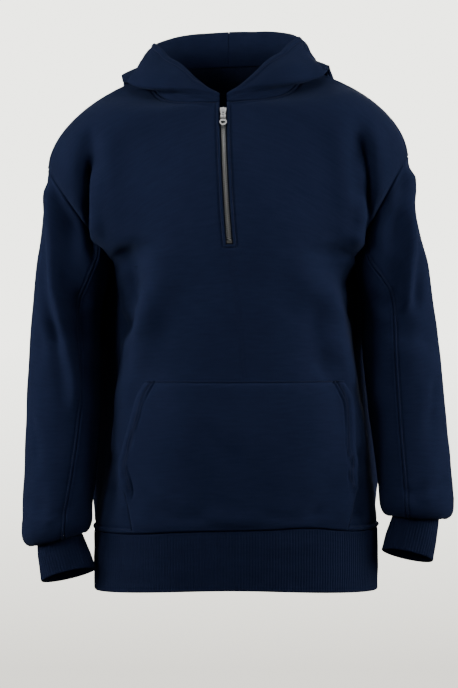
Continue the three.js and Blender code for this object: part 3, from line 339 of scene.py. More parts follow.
def lengths(grid, axis):
    """Mean distance of each row (or column) of a grid from its first."""
    step = np.linalg.norm(np.diff(grid, axis=axis), axis=2).mean(axis=1 - axis)
    return np.concatenate([[0], np.cumsum(step)])


def fine_steps(along, near=(), pitch=PITCH):
    """Places along a grid, counted in its rows: even steps, and the distances wanted beside some rows."""
    count = np.arange(len(along))
    wanted = [np.interp(along[row] + sign * d, along, count) for row, sign, ds in near for d in ds]
    wanted = np.unique(np.round(wanted, 5)) if len(wanted) else np.zeros(0)
    even = []
    for i in range(len(along) - 1):
        parts = max(1, math.ceil((along[i + 1] - along[i]) / pitch))
        even += [i + k / parts for k in range(parts)]
    even = np.array(even + [len(along) - 1.0])
    place = np.interp(even, count, along)
    marks = np.interp(wanted, count, along)
    if len(marks):
        even = even[np.abs(place[:, None] - marks[None]).min(1) > 0.45 * pitch]
    return np.unique(np.concatenate([wanted, even]))


def spread(values, keys, at, breaks=()):
    """Smoothly interpolates rows of points. The rows on either side of a break don't lean on each other."""
    n = len(keys)
    i = np.clip(np.floor(at).astype(int), 0, n - 2)
    low, high = np.maximum(np.arange(n) - 1, 0), np.minimum(np.arange(n) + 1, n - 1)
    leaving = arriving = (values[high] - values[low]) / (keys[high] - keys[low])[:, None, None]
    if len(breaks):
        leaving, arriving = leaving.copy(), arriving.copy()
        for b in breaks:
            leaving[b] = (values[b + 1] - values[b]) / (keys[b + 1] - keys[b])
            arriving[b] = (values[b] - values[b - 1]) / (keys[b] - keys[b - 1])
    span = (keys[i + 1] - keys[i])[:, None, None]
    t = (at - i)[:, None, None]
    return hermite(values[i], values[i + 1], leaving[i] * span, arriving[i + 1] * span, t)


print(len(fine_steps(lengths(coarse[-1], 0))), "fine rows without any seam")

# %% [markdown]
# ## Folds
#
# A fold in heavy fleece is a soft trough with a low swelling on each side. Each row of the tables below is
# one fold: how deep it is, how wide, how it leans, how much of its length each end takes to fade, and its
# line over the cloth. A ridge is a fold with a negative depth. `lean` makes one side steeper than the
# other.

# %% Folds
FOLD_BROW = 0.22  # height of the swelling beside a fold, as a share of the fold's depth
FOLD_UNEVEN = 0.22  # how much the depth of a fold changes along it


def nearest_on(points, line):
    """Distance from each 2-D point to a line, its side, and how far along the line it is (0 to 1)."""
    line = np.asarray(line, float)
    steps = np.linalg.norm(np.diff(line, axis=0), axis=1)
    starts = np.concatenate([[0], np.cumsum(steps)])
    best = np.full(len(points), np.inf)
    side, along = np.zeros(len(points)), np.zeros(len(points))
    for a, b, length, start in zip(line[:-1], line[1:], steps, starts):
        t = np.clip((points - a) @ (b - a) / length**2, 0, 1)
        off = points - (a + t[:, None] * (b - a))
        away = np.linalg.norm(off, axis=1)
        closer = away < best
        cross = (b - a)[0] * off[:, 1] - (b - a)[1] * off[:, 0]
        best = np.where(closer, away, best)
        side = np.where(closer, np.sign(cross), side)
        along = np.where(closer, (start + t * length) / starts[-1], along)
    return best, side, along


def folds(points, rows):
    """How far the folds of a table push each point in. A row: depth, width, lean, fade | its line."""
    depth = np.zeros(len(points))
    for number, row in enumerate(rows.strip().splitlines()):
        size, line = row.split("|")
        deep, width, lean, fade = (float(v) for v in size.split())
        away, side, along = nearest_on(points, [[float(v) for v in p.split()] for p in line.split(",")])
        q = away / (width * (1 + lean * side))
        uneven = 1 + FOLD_UNEVEN * np.sin(5.3 * along * np.pi + 1.7 * number)
        ends = ease(along / fade) * ease((1 - along) / fade)
        depth += deep * uneven * ends * (np.exp(-q * q) - FOLD_BROW * np.exp(-((q - 2.1) ** 2)))
    return depth


def drift(points, size, seed):
    """A slow, even unevenness between -1 and 1, the same on every run."""
    angles = np.random.default_rng(seed).uniform(0, 2 * np.pi, (5, 4))
    total = np.zeros(len(points))
    for a, b, c, d in angles:
        way = np.array([np.cos(a) * np.sin(b), np.sin(a) * np.sin(b), np.cos(b)])
        total += np.sin(points @ way * (2 * np.pi / size) * (0.7 + 0.6 * c / 6.3) + d)
    return total / 5


FRONT_FOLDS = """
15 13 0 .3 | -182 -70, -190 -232
15 13 0 .3 | 182 -70, 188 -232
15 20 0 .3 | -132 -235, -136 -335
9 20 0 .3 | 132 -250, 140 -325
-8 24 0 .3 | -100 -262, -140 -440
-8 24 0 .3 | 104 -262, 142 -440"""
BACK_FOLDS = """
13 14 0 .3 | -178 -90, -184 -240
13 14 0 .3 | 178 -90, 184 -240
-8 34 0 .3 | -96 -270, -118 -520
-8 34 0 .3 | 96 -270, 118 -520
6 36 0 .3 | -30 -420, 20 -600"""
print("folds of the front:", len(FRONT_FOLDS.strip().splitlines()))

# %% [markdown]
# ## The fine front and back
#
# The coarse panel becomes a fine one, its seam edges are put exactly on the seam curves that the
# neighbours share, and the folds press in. `rows` and `columns` say where each fine row and column lies
# among the coarse ones, so that a seam or a corner can be found again in the fine grid.

# %% Fine panels
NUDGE = 1e-6  # rounding allowed when a fine row is compared with a coarse one


def fine_panel(face, fold_rows):
    grid = coarse[face]
    down, across = lengths(grid, 0), lengths(grid[:SIDE_ROWS + 1], 1)
    last = grid.shape[1] - 1
    by_slit = [(SLIT_ROW, 1, (0, 0.5, 1.2, 2.4)), (SLIT_ROW, -1, (0.5, 1.2, 2.4, 3.6, 4.6, 5.6, 7))]
    rows = fine_steps(down, [(0, 1, SEWN), (LAST_ROW, -1, SEWN)] + (by_slit if face < 0 else []))
    columns = fine_steps(across, [
        (0, 1, SEWN), (last, -1, SEWN), (MIDDLE - 1, -1, SEWN), (MIDDLE + 1, 1, SEWN), (MIDDLE, 1, (0,))])
    beside = np.abs(np.arange(last + 1) - MIDDLE) - 1
    cornered = spread(grid, down, rows, [CORNER_ROW])
    flow = mix(cornered, spread(grid, down, rows), ease(beside / 2)[None, :, None]).swapaxes(0, 1)
    whole = spread(flow, across, columns).swapaxes(0, 1)
    apart = spread(flow, across, columns, [MIDDLE - 1, MIDDLE + 1]).swapaxes(0, 1)
    split_row = SLIT_ROW if face < 0 else CORNER_ROW - 1
    p = mix(whole, apart, ease(rows - split_row)[:, None, None])
    angle = np.interp(rows - SIDE_ROWS, np.arange(len(ARMHOLE_ANGLES)), ARMHOLE_ANGLES)
    for side, column in ((-1, 0), (1, last)):
        z = mix(hem_seam(face, side * 90.0), UNDERARM[2], np.clip(rows / SIDE_ROWS, 0, 1))
        arm = armhole(side, angle if face < 0 else 360 - angle)
        edge = np.where((rows <= SIDE_ROWS)[:, None], side_seam(side, z), arm)
        gap = edge - p[:, 0 if column == 0 else -1]
        p = p + gap[:, None] * ease(1 - np.abs(columns - column) / 2)[None, :, None]
    s = np.clip((np.abs(columns - MIDDLE) - 1) / HALF_COLUMNS, 0, 1)
    seam = np.where((columns < MIDDLE)[:, None], shoulder_seam(-1, s), shoulder_seam(1, s))
    p = p + (seam - p[-1])[None] * ease(1 - (LAST_ROW - rows) / 2)[:, None, None]
    inside = ease(np.minimum(columns, last - columns))[None, :] * ease(rows)[:, None]
    depth = folds(p.reshape(-1, 3)[:, [0, 2]], fold_rows).reshape(p.shape[:2])
    p[..., 1] -= face * depth * inside
    return stand(p), rows, columns


def quads_of(shape, wrap=False, closed=False, flip=False, keep=None):
    """The quads of a grid of points, and the row and column of each corner."""
    counts = np.arange(shape[0] - (not closed)), np.arange(shape[1] - (not wrap))
    r, c = np.meshgrid(*counts, indexing="ij")
    if keep is not None:
        r, c = r[keep], c[keep]
    r, c = r.ravel(), c.ravel()
    corner_rows, corner_columns = np.stack([r, r, r + 1, r + 1], 1), np.stack([c, c + 1, c + 1, c], 1)
    if flip:
        corner_rows, corner_columns = corner_rows[:, ::-1], corner_columns[:, ::-1]
    index = (corner_rows % shape[0]) * shape[1] + corner_columns % shape[1]
    return index, corner_rows, corner_columns


def normals_of(points, quads):
    across = np.cross(points[quads[:, 2]] - points[quads[:, 0]], points[quads[:, 3]] - points[quads[:, 1]])
    total = np.zeros_like(points)
    for corner in range(4):
        np.add.at(total, quads[:, corner], across)
    return unit(total)


def opened(rows, columns, first):
    """Which quads stay when the strip in the middle is left open from one coarse row upwards."""
    on_strip = np.abs((columns[:-1] + columns[1:]) / 2 - MIDDLE) < 1
    return ~((rows[:-1] >= first - NUDGE)[:, None] & on_strip[None])


front, front_rows, front_columns = fine_panel(-1, FRONT_FOLDS)
back, back_rows, back_columns = fine_panel(1, BACK_FOLDS)
front_quads = quads_of(front.shape, keep=opened(front_rows, front_columns, SLIT_ROW))
back_quads = quads_of(back.shape, keep=opened(back_rows, back_columns, CORNER_ROW), flip=True)
print("fine front", front.shape, "fine back", back.shape)

# %% [markdown]
# ## Relief beside seams
#
# A row of stitches presses a groove into the cloth, and the seam allowance under it makes the cloth swell
# beside the row. `sewing` adds both up for every seam of a piece. `shared_normals` gives two pieces the
# same outward direction where they are sewn together.

# %% Relief beside seams
GROOVE, SWELL = 1.5, 2.2  # how deep a row of stitches presses in, and how much the cloth beside it swells
GROOVE_WIDTH, SWELL_WIDTH = 1.25, 0.36  # millimetres, and a share of the distance between two rows
SEWING_REACH, PLAIN_ALLOWANCE = 29, 5  # how far a seam is felt, and the allowance beside a plain one


def rim_of(quads):
    edges = np.concatenate([quads[:, [k, (k + 1) % 4]] for k in range(4)])
    _, first, count = np.unique(np.sort(edges, 1), axis=0, return_index=True, return_counts=True)
    return edges[first[count == 1]]


def dense(line, step=0.8):
    """A line of points, with more of them at even steps."""
    line = np.asarray(line, float)
    along = run_of(line)
    at = np.linspace(0, along[-1], max(2, int(along[-1] / step)))
    return read_off(at, along, line), at


def distance_to(points, targets, reach=30):
    """Distance of each point from its nearest target, and which target that is."""
    tree = KDTree(len(targets))
    for i, target in enumerate(targets):
        tree.insert(target, i)
    tree.balance()
    away, which = np.full(len(points), float(reach)), np.zeros(len(points), int)
    low, high = targets.min(0) - reach, targets.max(0) + reach
    for i in np.flatnonzero(((points > low) & (points < high)).all(1)):
        _, index, distance = tree.find(points[i])
        if distance < reach:
            away[i], which[i] = distance, index
    return away, which


def shared_normals(pieces, reach=16, touching=2.5):
    """The outward directions of several pieces. Where two are sewn together both take the direction midway
    between theirs, so that their walls meet all through."""
    sheets = []
    for grid, quads in pieces:
        points = grid.reshape(-1, 3)
        normals, rim = normals_of(points, quads[0]), rim_of(quads[0])
        t = np.linspace(0, 0.75, 4)[:, None, None]
        spots, ways = (mix(v[rim[:, 0]], v[rim[:, 1]], t).reshape(-1, 3) for v in (points, normals))
        sheets.append((points, normals, np.unique(rim), spots, ways))
    for number, (points, normals, own, _, _) in enumerate(sheets):
        others = [sheet for k, sheet in enumerate(sheets) if k != number]
        spots, ways = (np.concatenate([sheet[k] for sheet in others]) for k in (3, 4))
        away, which = distance_to(points[own], spots, touching)
        midway = unit(normals[own] + ways[which])
        change = np.where((away < touching)[:, None], midway - normals[own], 0)
        away, nearest = distance_to(points, points[own], reach)
        yield unit(normals + change[nearest] * ease(1 - away / reach)[:, None])


def sewing(points, lines, seed=1, groove=GROOVE):
    """Relief beside seams. A row is the seam's line, the distances of its stitch rows, how far the cloth
    swells over the seam allowance, and how much the seam puckers."""
    relief = np.zeros(len(points))
    for number, (line, rows, swell, pucker) in enumerate(lines):
        along_line, at = dense(line)
        away, which = distance_to(points, along_line)
        near = away < SEWING_REACH
        place = at[which]
        for row in rows:
            relief -= np.where(near, groove * np.exp(-((away - row) / GROOVE_WIDTH) ** 2), 0)
        between = [0, *(rows or (PLAIN_ALLOWANCE,))]
        for low, high in zip(between[:-1], between[1:]):
            off_middle = (away - (low + high) / 2) / (SWELL_WIDTH * (high - low))
            relief += np.where(near, SWELL * swell * np.exp(-off_middle ** 2), 0)
        wave = np.sin(place / 3.1 + 1.3 * np.sin(place / 17 + seed)) * np.sin(place / 23 + number)
        relief += np.where(near, pucker * wave * np.exp(-(((away - 5) / 7) ** 2)), 0)
    return relief


print("a row of stitches presses in", GROOVE, "mm, and the cloth beside it swells up to", SWELL)

# %% [markdown]
# ## Cloth walls
#
# Real fleece has a face, a brushed back and an edge between them. `cloth` makes all three from one sheet
# of points: the face, the same points moved in by the thickness, and a rim. Near each edge the face rolls
# under, so that two panels meet in a soft groove. Each corner also gets its place on the flat cloth, for
# the knit pattern.

# %% Cloth walls


def build(name, points, faces, face_materials, materials, corner_uv=None):
    """A mesh object from points in millimetres."""
    mesh = bpy.data.meshes.new(name)
    mesh.from_pydata((points * 0.001).tolist(), [], [list(map(int, face)) for face in faces])
    for material in materials:
        mesh.materials.append(material)
    mesh.polygons.foreach_set("material_index", np.asarray(face_materials, np.int32))
    mesh.polygons.foreach_set("use_smooth", np.ones(len(faces), bool))
    if corner_uv is not None:
        layer = mesh.uv_layers.new(name="cloth")
        layer.data.foreach_set("uv", np.asarray(corner_uv, np.float32).ravel())
    mesh.update()
    made = bpy.data.objects.new(name, mesh)
    bpy.context.scene.collection.objects.link(made)
    return made


def cloth(name, grid, quads, materials, thickness=WALL, relief=0, roll=(1.15, 2.6), trim=0.2, normals=None):
    """A closed wall of cloth. roll is how deep and how wide its edges turn under; trim draws the edges in.
    It returns the piece, and the points and outward directions of its face."""
    index, corner_rows, corner_columns = quads
    points = grid.reshape(-1, 3).copy()
    normals = normals_of(points, index) if normals is None else normals
    rim = rim_of(index)
    for a, b in rim:
        inward = np.cross(normals[[a, b]], unit(points[b] - points[a]))
        points[[a, b]] += unit(inward) * trim / 2
    start, end = points[rim[:, 0]], points[rim[:, 1]]
    edge = np.concatenate([start * (1 - t) + end * t for t in np.linspace(0, 0.8, 5)])
    away, _ = distance_to(points, edge, 6)
    deep, wide = roll
    drop = deep * (1 - np.sqrt(1 - np.clip(1 - away / wide, 0, 1) ** 2))
    face = points + normals * (relief - drop)[:, None]
    inner = points - normals * (thickness - 0.45 * np.minimum(drop, thickness))[:, None]
    used, compact = np.unique(index, return_inverse=True)
    index = compact.reshape(index.shape)
    position = np.searchsorted(used, rim)
    count = len(used)
    down, across = (np.append(steps, steps[-1] + PITCH) for steps in (lengths(grid, 0), lengths(grid, 1)))
    uv = np.stack([across[corner_columns], down[corner_rows]], -1) * 0.001
    rim_faces = np.stack([position[:, 1], position[:, 0], position[:, 0] + count, position[:, 1] + count], 1)
    faces = np.concatenate([index, index[:, ::-1] + count, rim_faces])
    which = np.concatenate([np.zeros(len(index)), np.ones(len(index)), np.zeros(len(rim))])
    flat_uv = np.zeros((len(rim), 4, 2))
    corner_uv = np.concatenate([uv, uv[:, ::-1], flat_uv])
    made = build(name, np.concatenate([face[used], inner[used]]), faces, which, materials, corner_uv)
    mesh_area = sum(p.area for p in made.data.polygons) / 2
    print(f"{name}: {2 * len(faces)} triangles, one layer is {mesh_area:.4f} square metres")
    return made, face.reshape(grid.shape), normals.reshape(grid.shape)


print("one layer of fleece is", WALL, "mm thick, and the hood", HOOD_WALL)

# %% [markdown]
# ## Stitches
#
# Each stitch is a grain of thread about three millimetres long that sits in the groove its row has pressed
# into the cloth. `inset` walks in from the edge of a piece by the wanted distance, so a row follows its
# seam at an even distance, as a sewing machine's guide makes it.

# %% Stitches
STITCH, STITCH_GAP = 2.7, 0.7  # length of a stitch, and the gap before the next
THREAD, THREAD_RISE = 0.34, 0.12  # radius of the thread, and how far its middle stands above the groove


def inset(face, normals, distance, axis=0, end=False, part=slice(None)):
    """A line of points and normals that runs at a distance from the first (or last) row (or column)."""
    p, n = (face, normals) if axis == 0 else (face.swapaxes(0, 1), normals.swapaxes(0, 1))
    if end:
        p, n = p[::-1], n[::-1]
    p, n = p[:, part], n[:, part]
    step = np.linalg.norm(np.diff(p, axis=0), axis=2)
    along = np.concatenate([np.zeros((1, p.shape[1])), np.cumsum(step, 0)])
    line, way = [], []
    for c in range(p.shape[1]):
        line.append([np.interp(distance, along[:, c], p[:, c, k]) for k in range(3)])
        way.append([np.interp(distance, along[:, c], n[:, c, k]) for k in range(3)])
    return np.array(line), unit(np.array(way))


def stitches(name, lines, material):
    """One mesh of all the stitches along some lines. A line is its points and its outward normals."""
    centres, ways, ups = [], [], []
    for line, normals in lines:
        along = run_of(line)
        at = np.arange(STITCH, along[-1] - STITCH / 2, STITCH + STITCH_GAP)
        centres.append(read_off(at, along, line))
        ways.append(unit(read_off(at + 1, along, line) - read_off(at - 1, along, line)))
        ups.append(unit(read_off(at, along, normals)))
    centre, way, up = (np.concatenate(v) for v in (centres, ways, ups))
    side = unit(np.cross(way, up))
    corners = []
    for place, is_tip in ((-0.5, True), (-0.3, False), (0.3, False), (0.5, True)):
        middle = centre + way * place * STITCH + up * (THREAD_RISE - (0.8 * THREAD if is_tip else 0))
        if is_tip:
            corners.append(middle)
            continue
        for turn in np.pi / 4 + np.arange(4) * np.pi / 2:
            corners.append(middle + THREAD * (np.cos(turn) * side + np.sin(turn) * up))
    points = np.stack(corners, 1)
    tip_a, ring_a, ring_b, tip_b = 0, 1, 5, 9
    base = np.arange(len(points))[:, None] * points.shape[1]
    faces = []
    for k in range(4):
        j = (k + 1) % 4
        for corner in ([tip_a, ring_a + k, ring_a + j], [ring_a + k, ring_b + k, ring_b + j, ring_a + j],
                       [ring_b + k, tip_b, ring_b + j]):
            faces += (base + np.array(corner)[None]).tolist()
    made = build(name, points.reshape(-1, 3), faces, np.zeros(len(faces)), [material])
    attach(made, "garment")
    print(f"{name}: {len(points)} stitches")


print("a stitch and its gap take", round(STITCH + STITCH_GAP, 2), "mm")

# %% [markdown]
# ## Materials
#
# The garment is one navy fleece with a matching rib, whose colours are made a little darker as painted
# shade. Its face is a fine jersey with a little brushing: matte, with a soft glow where it turns away
# (sheen). Close up there are rows of tiny V stitches, and from further off only a faint unevenness in the
# yarn. The knit pattern is drawn with node maths on a UV map that holds real metres. All lengths in the
# materials are metres.

# %% Material tools
WALE, COURSE = 0.00135, 0.00105  # width and height of a knitted stitch
SLUB_SCALE, SLUB_STRETCH = 260, (0.16, 1, 1)  # thick places in the yarn, drawn out along a row of stitches
CLOUD_SCALE, FIBRE_SCALE, BRUSHED_FIBRE_SCALE = 14, 1900, 420
TONE_CONTRAST = 2.4


def node(tree, kind, **settings):
    """A shader node. Each setting is the value of an input of that name, or else of a property."""
    made = tree.nodes.new(kind)
    for key, value in settings.items():
        if key in made.inputs:
            made.inputs[key].default_value = value
        else:
            setattr(made, key.lower(), value)
    return made


def maths(tree, operation, a, b=None):
    """One step of node arithmetic. a and b are numbers or the outputs of other nodes."""
    made = tree.nodes.new("ShaderNodeMath")
    made.operation = operation
    for socket, value in zip(made.inputs, (a, b)):
        if value is None:
            continue
        if isinstance(value, (int, float)):
            socket.default_value = value
        else:
            tree.links.new(value, socket)
    return made.outputs[0]


def scaled(tree, value, factor, offset):
    return maths(tree, "ADD", maths(tree, "MULTIPLY", value, factor), offset)


def weighed(tree, a, share_a, b, share_b):
    return maths(tree, "ADD", maths(tree, "MULTIPLY", a, share_a), maths(tree, "MULTIPLY", b, share_b))


def blend_colours(tree, factor, low, high):
    ramp = tree.nodes.new("ShaderNodeMix")
    ramp.data_type = "RGBA"
    tree.links.new(factor, ramp.inputs[0])
    for socket, value in ((ramp.inputs[6], low), (ramp.inputs[7], high)):
        if isinstance(value, tuple):
            socket.default_value = (*value, 1)
        else:
            tree.links.new(value, socket)
    return ramp.outputs[2]


def new_material(name, roughness, sheen=0.0, metallic=0.0, gloss=0.5):
    material = bpy.data.materials.new(name)
    material.use_nodes = True
    tree = material.node_tree
    shader = tree.nodes["Principled BSDF"]
    shader.inputs["Roughness"].default_value = roughness
    shader.inputs["Metallic"].default_value = metallic
    shader.inputs["Sheen Weight"].default_value = sheen
    shader.inputs["Sheen Roughness"].default_value = 0.45
    shader.inputs["Sheen Tint"].default_value = (0.30, 0.42, 0.72, 1)
    shader.inputs["Specular IOR Level"].default_value = gloss
    return material, tree, shader


def noise(tree, coordinates, scale, detail=3.0, stretch=(1, 1, 1)):
    mapping = node(tree, "ShaderNodeMapping")
    mapping.inputs["Scale"].default_value = stretch
    tree.links.new(coordinates, mapping.inputs["Vector"])
    made = node(tree, "ShaderNodeTexNoise", Scale=scale, Detail=detail)
    tree.links.new(mapping.outputs[0], made.inputs["Vector"])
    return made.outputs["Fac"]


def bump(tree, shader, height, distance, strength=1.0):
    made = node(tree, "ShaderNodeBump", Strength=strength, Distance=distance)
    tree.links.new(height, made.inputs["Height"])
    tree.links.new(made.outputs[0], shader.inputs["Normal"])


def cloth_map(tree):
    """Where a point lies on its flat piece of cloth: both together, then across and along, in metres."""
    uv = node(tree, "ShaderNodeUVMap")
    uv.uv_map = "cloth"
    parts = node(tree, "ShaderNodeSeparateXYZ")
    tree.links.new(uv.outputs[0], parts.inputs[0])
    return uv.outputs[0], parts.outputs[0], parts.outputs[1]


def knit_height(tree, across, along):
    """The height of jersey stitches: columns of small Vs."""
    column = maths(tree, "PINGPONG", maths(tree, "DIVIDE", across, WALE), 0.5)
    lean = maths(tree, "ADD", maths(tree, "DIVIDE", along, COURSE), column)
    legs = maths(tree, "PINGPONG", lean, 0.5)
    ridge = maths(tree, "SINE", maths(tree, "MULTIPLY", column, math.pi * 2))
    return maths(tree, "MULTIPLY", maths(tree, "ADD", legs, 0.35), maths(tree, "ADD", ridge, 0.25))


def fleece(name, low, high, fuzz, sheen, brushed=False):
    """Fleece from its darker and lighter yarn colours. fuzz is how far the brushed fibres stand up."""
    material, tree, shader = new_material(name, 0.92, sheen, gloss=0.03)
    place = node(tree, "ShaderNodeTexCoord").outputs["Object"]
    uv, across, along = cloth_map(tree)
    height = knit_height(tree, across, along)
    slub = noise(tree, uv, SLUB_SCALE, 2, SLUB_STRETCH)
    cloud = noise(tree, place, CLOUD_SCALE, 3)
    fibre = noise(tree, place, BRUSHED_FIBRE_SCALE if brushed else FIBRE_SCALE, 4)
    tone = weighed(tree, slub, 0.55, cloud, 0.45)
    tone = weighed(tree, fibre, 0.35, tone, 0.65)
    tone = scaled(tree, tone, TONE_CONTRAST, 0.5 - TONE_CONTRAST / 2)
    tree.links.new(blend_colours(tree, tone, low, high), shader.inputs["Base Color"])
    tree.links.new(scaled(tree, fibre, 0.14, 0.82), shader.inputs["Roughness"])
    knit_share = 0.15 if brushed else 0.5
    surface = weighed(tree, height, knit_share, fibre, 1 - knit_share)
    surface = maths(tree, "ADD", surface, maths(tree, "MULTIPLY", slub, 0.5))
    bump(tree, shader, surface, fuzz)
    return material


print("a fleece stitch is", round(WALE * 1000, 2), "by", round(COURSE * 1000, 2), "mm")

# %% [markdown]
# ## Fleece, rib, thread, tape and metal
#
# Each material takes a darker and a lighter colour, and a pattern decides where each shows. The brushed
# back has longer fibres and less knit than the face. The tape is a fine twill. Nickel is bright, with fine
# rubbing marks and a little tarnish in patches.

# %% Materials
TWILL_PITCH = 0.0007
FLEECE = fleece("fleece_face", (0.0084, 0.0130, 0.0375), (0.0149, 0.0216, 0.0592), 0.0004, 0.08)
FLEECE_BACK = fleece(
    "fleece_brushed_back", (0.0090, 0.0138, 0.0360), (0.0190, 0.0268, 0.0640), 0.0012, 0.14, brushed=True)
# The rib's colours are the fleece's made about an eighth darker: painted shade for the dimmer light low on
# the garment, at the hem and cuffs.
RIB_PAINTED_SHADE = fleece("rib_knit", (0.0074, 0.0114, 0.0325), (0.0132, 0.0190, 0.0515), 0.00035, 0.07)


def thread(name, low, high):
    material, tree, shader = new_material(name, 0.6, 0.05, gloss=0.25)
    place = node(tree, "ShaderNodeTexCoord").outputs["Object"]
    twist = noise(tree, place, 2600, 2)
    tree.links.new(blend_colours(tree, twist, low, high), shader.inputs["Base Color"])
    bump(tree, shader, twist, 0.0002)
    return material


def woven_tape(name):
    material, tree, shader = new_material(name, 0.85, 0.05, gloss=0.2)
    _, across, along = cloth_map(tree)
    diagonal = maths(tree, "DIVIDE", maths(tree, "ADD", across, along), TWILL_PITCH)
    twill = maths(tree, "PINGPONG", diagonal, 0.5)
    colour = blend_colours(tree, twill, (0.005, 0.009, 0.018), (0.012, 0.019, 0.036))
    tree.links.new(colour, shader.inputs["Base Color"])
    bump(tree, shader, twill, 0.0003)
    return material


def plated(name, low, high, roughness, scratch):
    """Plated metal. scratch is how much its roughness changes where it was rubbed."""
    material, tree, shader = new_material(name, roughness, 0, 1)
    place = node(tree, "ShaderNodeTexCoord").outputs["Object"]
    tarnish = noise(tree, place, 260, 4)
    rubbed = noise(tree, place, 1500, 3, (1, 1, 0.25))
    tree.links.new(blend_colours(tree, tarnish, low, high), shader.inputs["Base Color"])
    tree.links.new(scaled(tree, rubbed, scratch, roughness - scratch / 2), shader.inputs["Roughness"])
    bump(tree, shader, rubbed, 0.00004)
    return material


THREAD_NAVY = thread("navy_thread", (0.0070, 0.0108, 0.0290), (0.0140, 0.0205, 0.0520))
TAPE = woven_tape("zip_tape_weave")
NICKEL = plated("zip_nickel", (0.36, 0.36, 0.36), (0.55, 0.55, 0.55), 0.22, 0.12)
TEETH = plated("zip_teeth_metal", (0.62, 0.62, 0.61), (0.85, 0.85, 0.84), 0.42, 0.14)
print(len(bpy.data.materials), "materials")

# %% [markdown]
# ## Sewing the body
#
# The side seams and shoulder seams are plain. Round the neck and down the zip a row of topstitching holds
# the seam flat. Above the hem band a line of coverstitch runs along a raised cord of cloth. Each seam
# below is a line, the distances of its stitch rows, how far the cloth swells beside it, and how much it
# puckers. The lines are taken before the small creases are pressed in.

# %% Body panels with their seams
HEM_ROW, ZIP_STITCH, NECK_STITCH = 7.4, 4.8, 5.0  # how far each row of stitches is from its seam


def rows_from(rows, first, last=LAST_ROW):
    """The fine rows between two coarse ones."""
    return np.flatnonzero((rows >= first - NUDGE) & (rows <= last + NUDGE))


def column_at(columns, value):
    """The fine column nearest to a coarse one."""
    return int(np.argmin(np.abs(columns - value)))


def round_opening(grid, rows, columns):
    """The line down one side of an opening, along its foot and up the other side."""
    left, right = columns
    return np.concatenate([grid[rows[::-1], left], grid[rows[0], left:right + 1], grid[rows, right]])


slit = rows_from(front_rows, SLIT_ROW, CORNER_ROW)
neck_front, neck_back = rows_from(front_rows, CORNER_ROW), rows_from(back_rows, CORNER_ROW)
arm_front, arm_back = rows_from(front_rows, SIDE_ROWS), rows_from(back_rows, SIDE_ROWS)
front_slit, back_strip = ([column_at(columns, MIDDLE + way) for way in (-1, 1)]
                          for columns in (front_columns, back_columns))
front_seams = [
    (front[0], (HEM_ROW,), 1.0, 0.6),
    (round_opening(front, slit, front_slit), (ZIP_STITCH,), 0.4, 0.05),
    (front[arm_front, 0], (), 0.35, 0.15),
    (front[arm_front, -1], (), 0.35, 0.15),
    (front[-1, :front_slit[0] + 1], (), 0.3, 0.1),
    (front[-1, front_slit[1]:], (), 0.3, 0.1),
    (front[neck_front, front_slit[0]], (NECK_STITCH,), 0.45, 0.12),
    (front[neck_front, front_slit[1]], (NECK_STITCH,), 0.45, 0.12),
]
back_seams = [
    (back[0], (HEM_ROW,), 1.0, 0.6),
    (back[arm_back, 0], (), 0.2, 0.15),
    (back[arm_back, -1], (), 0.2, 0.15),
    (round_opening(back, neck_back, back_strip), (NECK_STITCH,), 0.45, 0.12),
]
print("the body has", len(front_seams) + len(back_seams), "lines of sewing")

# %% [markdown]
# ## Smaller creases of the body
#
# The tables hold the creases one by one, as x and z in millimetres. The deepest lie beside the arms, where
# the chest falls in front of each sleeve: the cloth is pressed in on the arm's side, and the chest hangs a
# little over it. Everywhere else a slow waviness keeps the panels from looking like sheet metal, and it
# fades out at the seams.

# %% Creases of the body
FRONT_SMALL = """
13 15 0 .25 | -141 -250, -138 -300, -141 -345, -151 -390
-6 15 0 .25 | -99 -262, -105 -310, -112 -345, -127 -395, -142 -455, -155 -518
-9 16 0 .3 | 180 -222, 174 -262, 166 -302
-7 12 0 .25 | 128 -275, 142 -335, 158 -400, 174 -480, 183 -560
6 13 0 .3 | 158 -250, 170 -310, 180 -370
3 14 0 .3 | 104 -330, 120 -390, 136 -450
3.5 9 0 .12 | -121 -436, -128 -466, -135 -495, -143 -525, -152 -566
3.5 9 0 .12 | 167 -436, 174 -466, 175.5 -495, 176 -525, 180 -566
1.8 16 0 .3 | -60 -470, -20 -520, 30 -560
2.2 12 0 .3 | 150 -560, 128 -600, 100 -632
5 12 0 .3 | -170 -520, -162 -575, -156 -632
-3 9 0 .3 | -150 -540, -144 -590, -140 -632
4 10 0 .3 | 186 -560, 178 -605, 174 -640
2.2 12 0 .3 | -120 -606, -60 -626, -10 -618
-2.5 10 0 .3 | -40 -614, 0 -628, 50 -634
2.4 9 0 .3 | 40 -618, 90 -626, 140 -616"""
BACK_SMALL = """
-6 13 0 .15 | -164 -256, -167 -295, -176 -350, -180 -400
-4 13 0 .15 | 170 -256, 177 -295, 188 -350, 189 -400
6 8 .35 .2 | -187 -115, -186 -160, -184 -236
6 8 -.35 .2 | 190 -115, 190 -160, 186 -240
3 12 0 .3 | -120 -262, -100 -330, -96 -400
3 12 0 .3 | 126 -262, 108 -330, 100 -400
-3 18 0 .3 | -60 -150, -52 -260, -70 -380
-3 18 0 .3 | 62 -150, 54 -260, 74 -380
2.5 14 0 .3 | -120 -470, -60 -520, 10 -540
2.5 14 0 .3 | 130 -500, 70 -560, -10 -590
2 10 0 .3 | -150 -560, -110 -600, -60 -628
2 10 0 .3 | 150 -580, 120 -612, 70 -632"""
# The deep crease where the chest falls in front of each arm: depth, overhang, and its line as x, z.
ARM_CREASES = ((17, 7, [(-187, -124), (-190, -165), (-191, -230), (-188, -262), (-183, -284)]),
               (12, 4, [(181, -98), (189, -135), (192, -165), (192.5, -215), (190, -245), (184, -268)]))
print(len((FRONT_SMALL + BACK_SMALL).strip().splitlines()), "small creases")

